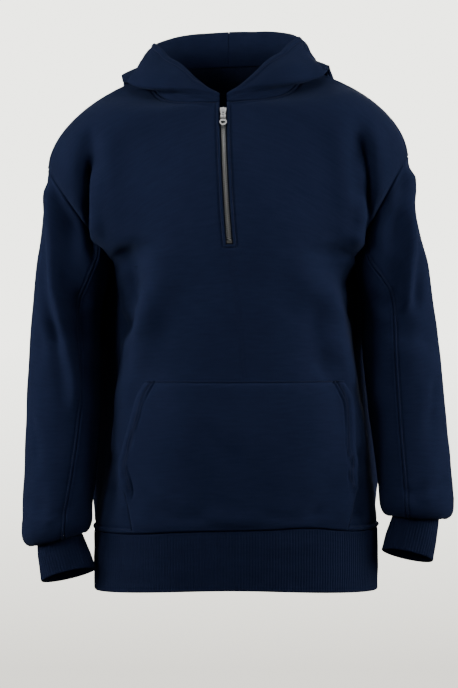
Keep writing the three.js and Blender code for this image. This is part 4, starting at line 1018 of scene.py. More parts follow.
# %% [markdown]
# ## Pressing the creases in
#
# `settle` presses a table of creases into a panel along its normals. `crease_arms` does the deep ones
# beside the arms: a hollow, a brow beside it, and the overhang of the chest. The sleeves get the same
# hollow later, so that both sides of the seam go in together.

# %% Creased panels
HOLLOW_WIDTH, BROW_AT, BROW_WIDTH, BROW_SHARE = 5.5, 12, 7, 0.3
OVERHANG_AT, OVERHANG_WIDTH = 8, 5
EDGE_FADE = 26  # the waviness grows from nothing over this distance from an edge
MIDDLE_HALF = 2.4  # coarse columns on each side of the middle that are levelled below the zip


def settle(grid, quads, fold_rows, seed):
    """Adds the smaller folds and the slow unevenness of hanging cloth, along the normals."""
    points = grid.reshape(-1, 3)
    normals = normals_of(points, quads[0])
    away, _ = distance_to(points, points[np.unique(rim_of(quads[0]))], EDGE_FADE)
    fade = ease(away / EDGE_FADE)
    depth = folds(points[:, [0, 2]], fold_rows) * ease(fade * 1.6)
    waves = 1.5 * drift(points, 190, seed) + 0.55 * drift(points, 70, seed + 1)
    return (points - normals * (depth + waves * fade)[:, None]).reshape(grid.shape)


def crease_arms(grid, chest_side=True):
    """Presses the crease in beside each arm, and lets the cloth of the chest hang a little over it."""
    points = grid.reshape(-1, 3).copy()
    front_share = ease((-5 - points[:, 1]) / 25)
    for deep, over, line in ARM_CREASES:
        chest = -np.sign(line[0][0])
        away, side, along = nearest_on(points[:, [0, 2]], line)
        away = away * side * chest
        share = ease(along / 0.25) * ease((1 - along) / 0.2) * front_share
        hollow = np.exp(-((away / HOLLOW_WIDTH) ** 2))
        brow = np.exp(-(((away - BROW_AT) / BROW_WIDTH) ** 2))
        points[:, 1] += share * (deep * hollow - BROW_SHARE * deep * brow)
        if chest_side:
            overhang = np.exp(-(((away - OVERHANG_AT) / OVERHANG_WIDTH) ** 2))
            points[:, 0] -= chest * over * share * overhang
    return points.reshape(grid.shape)


def level_middle(grid, rows, columns):
    """Carries the front smoothly across its middle below the zip, where the coarse columns leave a line."""
    low, high = (int(np.argmin(np.abs(columns - MIDDLE - way * MIDDLE_HALF))) for way in (-1, 1))
    x, y = grid[:, low:high + 1, 0], grid[:, low:high + 1, 1]
    span = x[:, -1:] - x[:, :1]
    slopes = []
    for column in (low, high):
        step = grid[:, column + 1] - grid[:, column - 1]
        slopes.append((step[:, 1] / step[:, 0])[:, None] * span)
    smooth = hermite(y[:, :1], y[:, -1:], *slopes, (x - x[:, :1]) / span)
    share = ease((SLIT_ROW - 0.3 - rows) / 1.2) * ease(rows / 1.5)
    grid = grid.copy()
    grid[:, low:high + 1, 1] = mix(y, smooth, share[:, None])
    return grid


front = level_middle(front, front_rows, front_columns)
front = crease_arms(settle(front, front_quads, FRONT_SMALL, 11))
back = settle(back, back_quads, BACK_SMALL, 12)
body_points = np.concatenate([front.reshape(-1, 3), back.reshape(-1, 3)])
body_faces = np.concatenate([front_quads[0], back_quads[0] + front.size // 3])
body_tree = BVHTree.FromPolygons(body_points.tolist(), body_faces.tolist())
front_tree = BVHTree.FromPolygons(front.reshape(-1, 3).tolist(), front_quads[0].tolist())

print("the body has", len(body_faces), "quads")

# %% [markdown]
# ## Sleeves
#
# Each sleeve is two pieces, so it has a seam down the front of the arm and one down the back. The sleeve
# is a stack of oval rings from the armhole to the wrist, and it bags over the cuff. A long soft ridge runs
# down its front. Where a sleeve would pass into the body it is pushed out, as it would lie in life.

# %% Measurements of the sleeves
SLEEVES = {
    "right": table("t outer_x outer_z inner_x inner_z y front back", """
0    -252 -134 -166 -272  12 58 66
0.06 -256 -172 -171 -297  11 66 69
0.14 -261 -220 -176 -322   9 70 70
0.24 -269 -284 -178 -354   6 68 68
0.36 -276 -360 -177 -398   2 65 66
0.48 -280 -436 -177 -452  -4 62 64
0.6  -282 -509 -178 -509 -17 60 62
0.72 -283 -576 -182 -566 -33 58 59
0.82 -284 -625 -187 -609 -46 56 56
0.9  -285 -648 -187 -631 -51 54 54
0.94 -282 -660 -190 -641 -53 49 49
0.97 -275 -666 -194 -646 -54 42 42
1    -266 -665 -199 -646 -54 34 34"""),
    "left": table("t outer_x outer_z inner_x inner_z y front back", """
0    252 -134 166 -272  -4 58 66
0.06 257 -172 175 -297  -5 66 69
0.14 267 -220 184 -322  -6 70 70
0.24 281 -284 188 -354  -9 68 68
0.36 291 -356 187 -394 -12 65 66
0.48 298 -426 191 -442 -17 62 64
0.6  303 -493 197 -493 -25 60 62
0.72 308 -552 203 -544 -38 58 59
0.82 311 -591 207 -587 -49 56 56
0.9  311 -611 209 -607 -54 54 54
0.94 309 -622 212 -617 -56 49 49
0.97 303 -628 217 -623 -56 42 42
1    294 -627 224 -623 -56 34 34"""),
}
SLEEVE_SEAMS = table("t right left", """
0    57 57
0.12 58 70
0.25 60 79
0.5  60 76
0.7  68 72
0.85 74 70
1    76 70""")
CUFF_ENDS = {
    "right": dict(outer_x=-257, outer_z=-715, inner_x=-181, inner_z=-697, y=-62, front=29, back=29),
    "left": dict(outer_x=282, outer_z=-687, inner_x=211, inner_z=-671, y=-63, front=29, back=29),
}
CUFF_FRONT_LIFT, CUFF_TUCK, SLEEVE_LENGTH, SLEEVE_ROW = 8, 3.2, 560, 4.6
BODY_REACH, BODY_DEEPEST, BODY_CLEARANCE = 45, 40, 2.2  # how far off the body is looked for, and its gap
LOOP = np.concatenate([ARMHOLE_ANGLES, 360 - ARMHOLE_ANGLES[-2:0:-1]])

# Folds of the sleeves, with their lines as the angle round the arm and the distance down it. Both sleeves
# have the same ones, apart from a pair on the front.
FRONT_PAIR = {
    "right": """
2 9 0 .3 | 150 300, 128 350, 120 400
-2 12 0 .3 | 100 400, 92 460, 96 500""",
    "left": """
2 9 0 .3 | 140 260, 124 320, 112 380
-2 12 0 .3 | 120 380, 108 440, 100 500""",
}
SLEEVE_FOLDS = {name: f"""
-4 18 0 .2 | 200 28, 240 300
3 14 0 .3 | 60 168, 100 205, 150 235
4 16 0 .3 | 215 246, 300 213
3 12 0 .3 | 70 470, 110 452, 150 426
3 14 0 .3 | 230 403, 290 448
2.5 10 0 .3 | 30 90, 60 120, 78 160{pair}
2 8 0 .3 | 170 455, 200 470, 236 468
1.8 7 0 .3 | 64 440, 84 480, 90 505""" for name, pair in FRONT_PAIR.items()}

# The long ridge down the front of each sleeve and the hollows beside it, in the same way but as x, z.
SLEEVE_RIDGES = {
    "right": """
-9 8 0 .12 | -249 -146, -248 -190, -246 -238, -239 -313, -230 -351, -214 -431, -208 -489
6 7 0 .2 | -259 -150, -257 -238, -251 -313, -243 -351, -228 -431
12 17 0 .2 | -221 -170, -221 -238, -214 -300, -204 -350, -196 -420
5 9 0 .3 | -203 -300, -195 -350, -192 -400""",
    "left": """
-9 8 0 .12 | 247 -132, 252 -175, 254 -258, 247 -313, 241 -352
6 7 0 .2 | 263 -176, 264 -258, 258 -313, 252 -352
9 15 0 .2 | 228 -180, 232 -240, 226 -300, 220 -360""",
}
print({name: len(rings["t"]) for name, rings in SLEEVES.items()}, "rings measured on each sleeve")

# %% [markdown]
# ## Rings of a sleeve
#
# The columns of a sleeve start at the points of the armhole and spread evenly between the two seams lower
# down. Each ring gets its folds, the ridge, a little waviness, and the hollow beside the chest.

# %% Sleeve rings


def on_ring(ring, angle, power):
    """A point of an oval ring, by angle: inner side 0, front 90, outer side 180."""
    c, s = np.cos(np.radians(angle)), np.sin(np.radians(angle))
    across = np.sign(c) * np.abs(c) ** power
    reach = np.sign(s) * np.abs(s) ** power
    tip = (1 - across) / 2
    return np.stack([
        mix(ring["inner_x"], ring["outer_x"], tip),
        ring["y"] - reach * np.where(s > 0, ring["front"], ring["back"]),
        mix(ring["inner_z"], ring["outer_z"], tip),
    ], -1)


def round_loop(values, at):
    """Smooth values round a closed loop of angles, at places counted in its points."""
    whole = np.concatenate([values[..., -1:] - 360, values, values[..., :2] + 360], -1)
    i = np.floor(at).astype(int)
    slope = (whole[..., 2:] - whole[..., :-2]) / 2
    padded = np.concatenate([slope, slope[..., :1]], -1)
    return hermite(whole[..., i + 1], whole[..., i + 2], padded[..., i], padded[..., i + 1], at - i)


def ring_angles(name, t, at):
    """The angles of the columns on each ring: the armhole's at the top, even between the seams below."""
    seam = curve(SLEEVE_SEAMS, "t", name, t)[:, None]
    last = len(LOOP)
    i = np.arange(last)
    even = np.where(
        i <= SEAM_STEP, seam * i / SEAM_STEP,
        np.where(i >= last - SEAM_STEP, 360 - seam * (last - i) / SEAM_STEP,
                 mix(seam, 360 - seam, (i - SEAM_STEP) / (last - 2 * SEAM_STEP))))
    return round_loop(mix(LOOP[None], even, ease(t / 0.25)[:, None]), at)


def clear_of(points, tree, gap):
    """Pushes points off the outside of the body until they are clear of it by the gap."""
    moved = points.copy()
    for i in np.flatnonzero(gap > 0):
        place, normal, _, away = tree.find_nearest(points[i], BODY_REACH)
        if place is None:
            continue
        height = (Vector(points[i]) - place).dot(normal)
        if height < gap[i] and away < BODY_DEEPEST:
            moved[i] += np.array(normal) * (gap[i] - height)
    return moved


def sleeve_rings(name, t):
    return {key: curve(SLEEVES[name], "t", key, t)[:, None] for key in SLEEVES[name] if key != "t"}


def sleeve(name, t, at):
    """The folded rings of a sleeve, clear of the body. t runs from the armhole (0) to the wrist (1)."""
    side = 1 if name == "left" else -1
    start = round_loop(LOOP[None], at)[0]
    edge = stand(armhole(side, np.clip(start, 0, 360)))
    angle = ring_angles(name, t, at)
    first = on_ring(sleeve_rings(name, np.zeros(1)), start[None], 1)
    like_armhole = ((1 - ease(t / 0.3)) ** 2)[:, None, None]
    power = mix(1, 0.92, ease(t / 0.3))[:, None]
    rings = sleeve_rings(name, t)
    p = on_ring(rings, angle, power) + (edge[None] - first) * like_armhole
    middle = (on_ring(rings, np.zeros((1, 1)), 1) + on_ring(rings, np.full((1, 1), 180.0), 1)) / 2
    inward = middle - p
    inward[..., 2] = 0
    place = np.stack([angle, np.repeat(t[:, None] * SLEEVE_LENGTH, len(at), 1)], -1).reshape(-1, 2)
    depth = folds(place, SLEEVE_FOLDS[name]) + folds(place + [360, 0], SLEEVE_FOLDS[name])
    depth = depth.reshape(p.shape[:2]) * (ease(t / 0.1) * ease((0.94 - t) / 0.08))[:, None]
    flat = p.reshape(-1, 3)
    ridges = folds(flat[:, [0, 2]], SLEEVE_RIDGES[name]) * ease((12 - flat[:, 1]) / 30)
    depth = depth + ridges.reshape(depth.shape) * ease(t / 0.04)[:, None]
    waves = (1.4 * drift(flat, 150, side + 21) + 0.5 * drift(flat, 55, side + 31)).reshape(p.shape[:2])
    p = p + unit(inward) * (depth + waves * (ease(t / 0.1) * ease((1 - t) / 0.1))[:, None])[..., None]
    gap = np.repeat(BODY_CLEARANCE * ease((t - 0.05) / 0.08)[:, None], len(at), 1).ravel()
    return crease_arms(clear_of(p.reshape(-1, 3), body_tree, gap).reshape(p.shape), chest_side=False)


def sleeve_steps(name):
    """The places of the fine rows and columns of a sleeve."""
    at, t = np.arange(len(LOOP) + 0.0), np.linspace(0, 1, 19)
    rough = on_ring(sleeve_rings(name, t), ring_angles(name, t, at), 1)
    down = lengths(rough, 0)
    rows = np.interp(fine_steps(down, [(0, 1, SEWN), (18, -1, ROLL + (4, 5.4, 7))]), np.arange(19), t)
    around = lengths(np.concatenate([rough, rough[:, :1]], 1), 1)
    last = len(LOOP)
    both = [(s, way, SEWN) for s in (SEAM_STEP, last - SEAM_STEP) for way in (-1, 1)]
    return rows, fine_steps(around, both)[:-1]


print("the seams of the right sleeve leave the armhole at", SLEEVE_SEAMS["right"][0], "degrees")

# %% [markdown]
# ## Two pieces to each sleeve
#
# The grid of a whole sleeve is parted at its seams. The top piece goes over the outside of the arm and the
# under piece lies against the body.

# %% Sleeves
sleeves = {}
for name in ("right", "left"):
    t, at = sleeve_steps(name)
    grid = sleeve(name, t, at)
    last = len(LOOP)
    first_seam, second_seam = column_at(at, SEAM_STEP), column_at(at, last - SEAM_STEP)
    top = grid[:, first_seam:second_seam + 1]
    under = np.concatenate([grid[:, second_seam:], grid[:, :first_seam + 1]], 1)
    sleeves[name] = dict(grid=grid, at=at, top=top, under=under)
print("sleeve grids", {name: s["grid"].shape for name, s in sleeves.items()})

# %% [markdown]
# ## Walls of the body and the sleeves
#
# All six pieces are thickened together, because each takes its outward direction at a seam from both sides
# of it. The tops of the sleeves are topstitched beside both of their seams, and the unders are left plain.

# %% Body and sleeves
panels = {"front_panel": (front, front_quads), "back_panel": (back, back_quads)}
seams_of = {"front_panel": front_seams, "back_panel": back_seams}
for name, data in sleeves.items():
    for part, sewn in (("top", (SLEEVE_ROW,)), ("under", ())):
        rows = data[part]
        piece = f"sleeve_{part}_{name}"
        panels[piece] = (rows, quads_of(rows.shape, flip=name == "left"))
        seams_of[piece] = [(rows[:, 0], sewn, 0.45, 0.1), (rows[:, -1], sewn, 0.45, 0.1),
                           (rows[0], (), 0.3, 0.12), (rows[-1], (), 0.2, 0.6)]
faces = {}
for (name, (grid, quads)), normals in zip(panels.items(), shared_normals(panels.values())):
    relief = sewing(grid.reshape(-1, 3), seams_of[name], seed=3)
    materials = [FLEECE, FLEECE_BACK]
    made, *faces[name] = cloth(f"{name}_cloth", grid, quads, materials, relief=relief, normals=normals)
    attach(made, "garment")
    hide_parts(name)
front_face, front_normals = faces["front_panel"]
back_face, back_normals = faces["back_panel"]

# %% [markdown]
# ## Ribbed tubes
#
# A rib knit is folded double and stretched a little as it is sewn on. Its ribs stand up in relief all
# round. The grid goes down the outside, round the fold at the lower edge and up the plain inside, so the
# tube closes on itself.

# %% Ribbed tubes
RIB_PITCH, RIB_RISE, RIB_POINTS, BAND_THICK = 3.9, 0.5, 8, 3.2
RIB_ROLL_WIDTH, RIB_FADE = 3, 3.0  # how far below the seam the top rolls in, and the ribs reach their height
RIB_FOLD_DEPTH, RIB_FOLD_WIDTH = 1.5, 2.4  # the rounding at the folded lower edge
RIB_SWELL_END = 1.15  # the swelling runs out at 1 / 1.15 of the way down
CLOSING_STEP = 3  # from the last row, at the top of the inside, back to the first


def closed_resample(loop, at):
    """Points on a smooth closed loop, at distances along it."""
    steps = np.linalg.norm(np.roll(loop, -1, 0) - loop, axis=1)
    keys = np.concatenate([[0], np.cumsum(steps)])
    n = len(loop)
    i = np.clip(np.searchsorted(keys, at, side="right") - 1, 0, n - 1)
    after, before = (i + 1) % n, (i - 1) % n
    slope_a = (loop[after] - loop[before]) / (steps[i] + steps[before])[:, None]
    slope_b = (loop[(i + 2) % n] - loop[i]) / (steps[after] + steps[i])[:, None]
    t = ((at - keys[i]) / steps[i])[:, None]
    span = steps[i][:, None]
    return hermite(loop[i], loop[after], slope_a * span, slope_b * span, t)


def ribbed(name, upper, lower, belly, top_roll, wobble, seed):
    """A ribbed tube between two loops that have the same columns. belly is how far its middle swells,
    top_roll how far its upper edge turns in, and wobble how uneven its middle is."""
    total = np.linalg.norm(np.roll(upper, -1, 0) - upper, axis=1).sum()
    ribs = int(round(total / RIB_PITCH))
    at = np.arange(ribs * RIB_POINTS) / (ribs * RIB_POINTS)
    lower_total = np.linalg.norm(np.roll(lower, -1, 0) - lower, axis=1).sum()
    top, end = closed_resample(upper, at * total), closed_resample(lower, at * lower_total)
    height = np.linalg.norm(end - top, axis=1).mean()
    around = unit(np.roll(top, -3, 0) - np.roll(top, 3, 0) + np.roll(end, -3, 0) - np.roll(end, 3, 0))
    out = unit(np.cross(around, unit(end - top)))
    centre = (top + end).mean(0) / 2
    if ((top - centre) * out).sum() < 0:
        out = -out
    crest = (0.5 - 0.5 * np.cos(2 * np.pi * np.arange(len(at)) / RIB_POINTS)) ** 0.8
    near_top, near_fold = [0.5, 0.9, 1.6, 3.0, 5.0], height - np.array([5, 3, 1.6, 0.7, 0.2])
    down = np.concatenate([near_top, np.arange(9, height - 7, 5.5), near_fold])
    rows = []
    for d in down:
        share = d / height
        roll = top_roll * (1 - np.sqrt(1 - max(0, 1 - d / RIB_ROLL_WIDTH) ** 2))
        fold = RIB_FOLD_DEPTH * (1 - math.sqrt(1 - max(0, 1 - (height - d) / RIB_FOLD_WIDTH) ** 2))
        swell = belly * math.sin(math.pi * share * RIB_SWELL_END) if share < 1 / RIB_SWELL_END else 0
        rise = RIB_RISE * ease(d / RIB_FADE) * (0.35 + 0.65 * ease((height - d) / 1.5))
        base = mix(top, end, share)
        wave = wobble * drift(base, 42, seed) * math.sin(math.pi * share)
        rows.append(base + out * (swell - roll - fold + rise * (crest - 0.5) + wave)[:, None])
    for share in (0.99, 0.8, 0.4, 0.02):
        rows.append(mix(top, end, share) - out * (BAND_THICK - 0.5 * (share > 0.95)))
    grid = np.array(rows)
    index, corner_rows, corner_columns = quads_of(grid.shape, wrap=True, closed=True)
    points = grid.reshape(-1, 3)
    a, b, c = (points[index[:, corner]] for corner in range(3))
    if np.einsum("ij,ij->i", a - centre, np.cross(b - a, c - a)).sum() < 0:
        index, corner_rows, corner_columns = index[:, ::-1], corner_rows[:, ::-1], corner_columns[:, ::-1]
    u = np.append(at, 1) * total * 0.001
    v = lengths(grid, 0)
    v = np.append(v, v[-1] + CLOSING_STEP) * 0.001
    uv = np.stack([u[corner_columns], v[corner_rows]], -1)
    inside = (corner_rows.min(1) >= len(down)).astype(int)
    made = build(name, points, index, inside, [RIB_PAINTED_SHADE, RIB_PAINTED_SHADE], uv)
    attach(made, "garment")
    mesh_area = sum(p.area for p in made.data.polygons) / 2
    print(f"{name}: {ribs} ribs, {2 * len(index)} triangles, {total:.0f} mm round")
    print(f"{name}: one layer is {mesh_area:.4f} square metres")
    return made


print("ribs stand", RIB_RISE, "mm high and", RIB_PITCH, "mm apart")

# %% [markdown]
# ## Cuffs and hem band
#
# The upper loop of each tube is the edge it is sewn to, and the lower loop is its folded edge.

# %% Cuffs and hem band
HEM_RISE_FRONT, HEM_RISE_BACK, HEM_GAP = 8, 4, 0.4  # the arch of the hem's edge, and its gap to the body
for name, data in sleeves.items():
    ends = data["grid"][-1]
    centre = ends.mean(0)
    upper = ends + unit(centre - ends) * CUFF_TUCK
    angle = ring_angles(name, np.ones(1), data["at"])[0]
    lower = on_ring({k: np.float64(v) for k, v in CUFF_ENDS[name].items()}, angle, 1)
    lower[:, 2] += CUFF_FRONT_LIFT * np.sin(np.radians(angle))
    cuff = ribbed(f"cuff_{name}_rib", upper, lower, 0.8, top_roll=1.0, wobble=0.8, seed=6 + len(name))
    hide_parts(f"cuff_{name}")

hem_upper = np.concatenate([front[0], back[0, -2:0:-1]])
bearing = np.arctan2(hem_upper[:, 0], -hem_upper[:, 1])
hem_lower = hem_upper.copy()
rise = np.where(hem_upper[:, 1] < 0, HEM_RISE_FRONT, HEM_RISE_BACK)
hem_lower[:, 2] = HEM_END_Z + rise * np.cos(bearing) ** 2
hem_upper = hem_upper - [0, 0, HEM_GAP]
hem_band = ribbed("hem_band_rib", hem_upper, hem_lower, 0.6, top_roll=1.2, wobble=1.0, seed=5)
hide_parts("hem_band")

# %% [markdown]
# ## The hood lying down
#
# A worn hood falls into a deep collar. It climbs from the neck seam, folds over, comes down outside, turns
# up again in a soft roll that rests on the shoulders, and ends in the rim of its opening. Each half is a
# fan of profiles, one for each bearing round the neck: 0 at the zip, 180 at the centre back. For each turn
# of the profile the table holds how far out from the neckline it lies, and its height. The hood is two
# layers of fleece, so it is nearly twice as thick as the body, and it thins where the layers end beside
# the zip.

# %% Shape of the hood
HOOD_TURNS = ["stand", "fold", "crest", "down", "tuck", "roll", "face", "rim"]
HOOD = table(" ".join(["at"] + [f"{turn}O {turn}Z" for turn in HOOD_TURNS] + ["rimAt"]), """
0   -0.5 -55   -1   -53.5 -1  -52 -1.2 -51 -1.5  -50  -2  -48.5 -2.5 -47 -3  -45 5
20   0.5 -52.5  1   -49.5 1.5 -47  1.5 -45  2.5  -41   3  -37  -3  -31 -11 -23  22
40   0   -49   -1.5 -44  -1   -41  2   -39  8    -38  12  -32   4  -16 -17   1  42
60  -1   -37   -2   -30   1   -27  7   -29 15    -33  25  -28  13   -6 -16  15  62
75  -1   -17   -1    -7   3    -3 12   -12 23    -23  34  -20  18    1 -13  28  76
90  -2     5    0    13   6    15 15     2 27    -11  38  -11  17    8  -3  39  96
105 -3    12   -1    26   8    28 18     5 30    -16  42  -16  20    9   5  40  108
120 -4    20   -1    36   9    37 22     4 38    -42  54  -40  36    0  18  38  124
140 -5    26   -1    44  10    45 26    -4 50    -82  72  -80  66  -16  36  35  142
160 -5    29   -1    48  11    48 28   -10 58   -115  90 -112  94  -30  54  31  161
180 -5    30   -1    49  11    49 28   -12 60   -138  96 -134 102  -40  60  30  180""")
HOOD_START_AT, HOOD_STRIP_AT, HOOD_CLEAR, RIM_ROW = 2.7, 173.4, 10, 9.5
FAN_ROWS = 33  # rows of the rough profile that is only used to measure how long it is
FRONT_END_WALL = 0.35  # share of the hood's thickness that is left at its front ends


def through(points, t):
    """The smooth curve through rows of points at even steps; t counts the rows."""
    padded = np.concatenate([2 * points[:1] - points[1:2], points, 2 * points[-1:] - points[-2:-1]])
    i = np.clip(np.floor(t).astype(int), 0, len(points) - 2)
    u = (t - i)[:, None, None]
    a, b, c, d = (padded[i + k] for k in range(4))
    return 0.5 * (2 * b + (c - a) * u + (2 * a - 5 * b + 4 * c - d) * u * u + (3 * b - a - 3 * c + d) * u**3)


def neck_seam(side):
    """The neckline from the zip round to the centre back, with the bearing of each of its coarse points."""
    line, bearing = [], []
    column = column_at(front_columns, MIDDLE + side)
    for row in neck_front:
        line.append(front[row, column])
        bearing.append(max((front_rows[row] - CORNER_ROW) * 90 / NECK_STEPS, HOOD_START_AT))
    column = column_at(back_columns, MIDDLE + side)
    for row in neck_back[::-1][1:]:
        line.append(back[row, column])
        count = NECK_STEPS + (LAST_ROW - back_rows[row])
        bearing.append(np.interp(count, [8, 15, 16], [90, 168.75, HOOD_STRIP_AT]))
    inner = side * (back_columns - MIDDLE)
    for c in np.flatnonzero((inner >= 0) & (inner < 1))[::-side]:
        line.append(back[neck_back[0], c])
        bearing.append(mix(180, HOOD_STRIP_AT, abs(back_columns[c] - MIDDLE)))
    return np.array(line), np.array(bearing)


def hood_half(side):
    """One half of the hood, clear of the shoulders, with its rows' turns and its columns' bearings."""
    line, bearing = neck_seam(side)
    along = run_of(line)
    at = along[-1] * fine_steps(along[[0, -1]], [(0, 1, ROLL), (1, -1, ROLL)], 5)
    line = read_off(at, along, line)
    bearing = np.interp(at, along, bearing)
    controls = [line]
    for turn in HOOD_TURNS:
        angle = np.radians(curve(HOOD, "at", "rimAt", bearing) if turn == "rim" else bearing)
        out = curve(HOOD, "at", turn + "O", bearing)
        depth = np.where(np.cos(angle) > 0, NECK_FRONT, NECK_BACK)
        controls.append(stand(np.stack([
            side * (NECK_HALF + out) * np.sin(angle), -(depth + out) * np.cos(angle),
            curve(HOOD, "at", turn + "Z", bearing)], -1)))
    controls = np.array(controls)
    rough_t = np.linspace(0, len(HOOD_TURNS), FAN_ROWS)
    down = lengths(through(controls, rough_t), 0)
    near = [(0, 1, ROLL + (4, 5.2, 6.4)), (FAN_ROWS - 1, -1, ROLL + (5, 7, 8, 8.8, 9.6, 10.6))]
    t = np.interp(fine_steps(down, near, 4.4), np.arange(FAN_ROWS), rough_t)
    p = through(controls, t)
    lifted = HOOD_CLEAR * ease((t - 1.6) / 0.9) * ease((8.6 - t) / 1.2)
    gap = lifted[:, None] * ease((bearing - 10) / 18)[None]
    return clear_of(p.reshape(-1, 3), body_tree, gap.ravel()).reshape(p.shape), t, bearing


print("the hood is measured at", len(HOOD["at"]), "bearings")

# %% [markdown]
# ## The two halves of the hood
#
# The halves get their own small folds, which fade out at the neck seam, at the rim, at the zip and at the
# centre seam, so that the halves still meet.

# %% Hood
# The lines of the folds are the bearing and the distance down the profile.
HOOD_SMALL = """
2.2 6 0 .3 | 20 60, 34 66, 52 60
2.0 6 0 .3 | 44 84, 60 92, 78 86
1.6 5 0 .3 | 84 40, 96 52, 104 70
2.4 7 0 .3 | 110 70, 124 84, 140 92
3 10 0 .3 | 120 150, 150 170, 178 175
-3 12 0 .3 | 130 110, 150 120, 176 124
2 8 0 .3 | 60 30, 84 34, 100 30"""
hood = {}
for side, name in ((-1, "right"), (1, "left")):
    grid, t, bearing = hood_half(side)
    quads = quads_of(grid.shape, flip=side < 0)
    down = lengths(grid, 0)
    place = np.stack(np.broadcast_arrays(bearing[None], down[:, None]), -1).reshape(-1, 2)
    points = grid.reshape(-1, 3)
    normals = normals_of(points, quads[0])
    fade = ease(np.minimum(t - 1, 8 - t)[:, None] / 0.8) * ease((175 - bearing)[None] / 20)
    fade = (fade * ease(bearing[None] / 12)).ravel()
    waves = 0.9 * drift(points, 90, 40 + side), 0.5 * drift(points, 34, 50 + side)
    depth = (folds(place, HOOD_SMALL) + waves[0] + waves[1]) * fade
    grid = (points - normals * depth[:, None]).reshape(grid.shape)
    rim_stitch = [(grid[-1], (RIM_ROW,), 0.5, 0.2), (grid[0], (), 0.3, 0.15)]
    relief = sewing(grid.reshape(-1, 3), rim_stitch, seed=7)
    wall = HOOD_WALL * np.tile(mix(FRONT_END_WALL, 1, ease((bearing - 3) / 16)), len(grid))
    relief = relief * np.tile(ease(bearing / 14), len(grid))
    made, face, normals = cloth(
        f"hood_{name}_cloth", grid, quads, [FLEECE, FLEECE], thickness=wall, relief=relief, roll=(1.2, 2.4))
    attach(made, "garment")
    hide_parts(f"hood_{name}")
    hood[name] = (made, face, normals)
print("hood grids", [h[1].shape for h in hood.values()])

# %% [markdown]
# ## Kangaroo pocket
#
# One patch, sewn along its top, its lower sides and its foot. The hand openings at the sides are turned in
# twice and stitched with two rows, so they are thick and stand a little off the front. Every point of the
# patch is first put on the front and then lifted off it: hardly at the seams, and most in the mouths of
# the openings.

# %% Patch of the pocket
POCKET = table("z left right", """
-640  -131   164
-591  -140   173
-561  -142   169
-525  -133   166
-495  -125   165.5
-466  -118   164
-437.5 -111.5 157""")
POCKET_FOOT, POCKET_LIFT, POCKET_CROWN, POCKET_CORNER_Z = 1.2, 2.2, 2.0, -588
POCKET_TALL, POCKET_WIDE = 204, 280
POCKET_SEAM_GAP, POCKET_MOUTH, MOUTH_REACH = 0.35, 4.6, 26  # the lift at seams and openings, and its reach
POCKET_ROWS, POCKET_SIDE_ROW, POCKET_TOP_ROW = (13, 17.5), 2.2, 2.4
POCKET_GROOVE = 2.2


def on_front(x, z):
    """The place on the fine front that is seen at x, z from straight ahead."""
    place, _, _, _ = front_tree.ray_cast(Vector((x, -400, z)), Vector((0, 1, 0)))
    if place is None:
        place, _, _, _ = front_tree.find_nearest(Vector((x, -140, z)))
    return np.array(place)


def pocket_grid():
    """The points of the patch, still lying on the front."""
    near = ROLL + (4, 5.4)
    side = near + (8, 10, 11.4, 12.4, 13.4, 14.4, 15.6, 17, 18, 19)
    v = fine_steps(np.array([0.0, POCKET_TALL]), [(0, 1, near), (1, -1, near)], 4.4)
    u = fine_steps(np.array([0.0, POCKET_WIDE]), [(0, 1, side), (1, -1, side)])
    foot_x = mix(POCKET["left"][0], POCKET["right"][0], u)
    order = np.argsort(front[0][:, 0])
    seam_z = np.interp(foot_x, front[0][order, 0], front[0][order, 2])
    points = np.zeros((len(v), len(u), 3))
    for i, share in enumerate(v):
        z = mix(seam_z + POCKET_FOOT, POCKET["z"][-1], share)
        x = mix(curve(POCKET, "z", "left", z), curve(POCKET, "z", "right", z), u)
        for j in range(len(u)):
            points[i, j] = on_front(x[j], z[j])
    return points


points = pocket_grid()
print("pocket patch", points.shape[:2], "on the front")

# %% [markdown]
# ## Lifting the pocket
#
# The patch is lifted along its outward directions. It rises within a finger's width of its sewn edges,
# crowns a little in the middle, and opens at the mouths.

# %% Pocket
flat_points = points.reshape(-1, 3)
quads = quads_of(points.shape)
smooth = normals_of(flat_points, quads[0])
from_top = np.linalg.norm(points - points[-1:], axis=2).ravel()
from_foot = np.linalg.norm(points - points[:1], axis=2).ravel()
from_side = np.minimum(
    np.linalg.norm(points - points[:, :1], axis=2), np.linalg.norm(points - points[:, -1:], axis=2)).ravel()
height_z = flat_points[:, 2]
is_open = ease((height_z - POCKET_CORNER_Z) / 14)
from_sewn = np.minimum(np.minimum(from_top, from_foot), from_side + 400 * is_open)
crown = ease(from_sewn / 60) * POCKET_CROWN
wave = 1.1 * drift(flat_points, 120, 61) + 0.5 * drift(flat_points, 48, 62)
lift = WALL + POCKET_SEAM_GAP + (POCKET_LIFT - POCKET_SEAM_GAP + crown + wave * 0.6) * ease(from_sewn / 11)
mouth = is_open * np.exp(-((from_side / MOUTH_REACH) ** 2)) * ease(from_top / 30)
mouth = mouth * ease((height_z - POCKET_CORNER_Z) / 40)
lift = lift + POCKET_MOUTH * mouth
pocket_points = flat_points + smooth * lift[:, None]
grid = pocket_points.reshape(points.shape)
sides_low = points[:, 0, 2] < POCKET_CORNER_Z
seams = [(grid[-1], (POCKET_TOP_ROW,), 0.3, 0.15)]
for column in (0, -1):
    seams.append((grid[~sides_low, column], POCKET_ROWS, 0.6, 0.1))
    seams.append((grid[sides_low, column], (POCKET_SIDE_ROW,), 0.3, 0.25))
relief = sewing(pocket_points, seams, seed=9, groove=POCKET_GROOVE)
pocket, pocket_face, pocket_normals = cloth(
    "pocket_cloth", grid, quads, [FLEECE, FLEECE_BACK], thickness=WALL - 0.3, relief=relief, trim=0)
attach(pocket, "garment")
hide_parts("pocket")
print("pocket", pocket_face.shape, "lifted", np.round([lift.min(), lift.max()], 2), "mm")

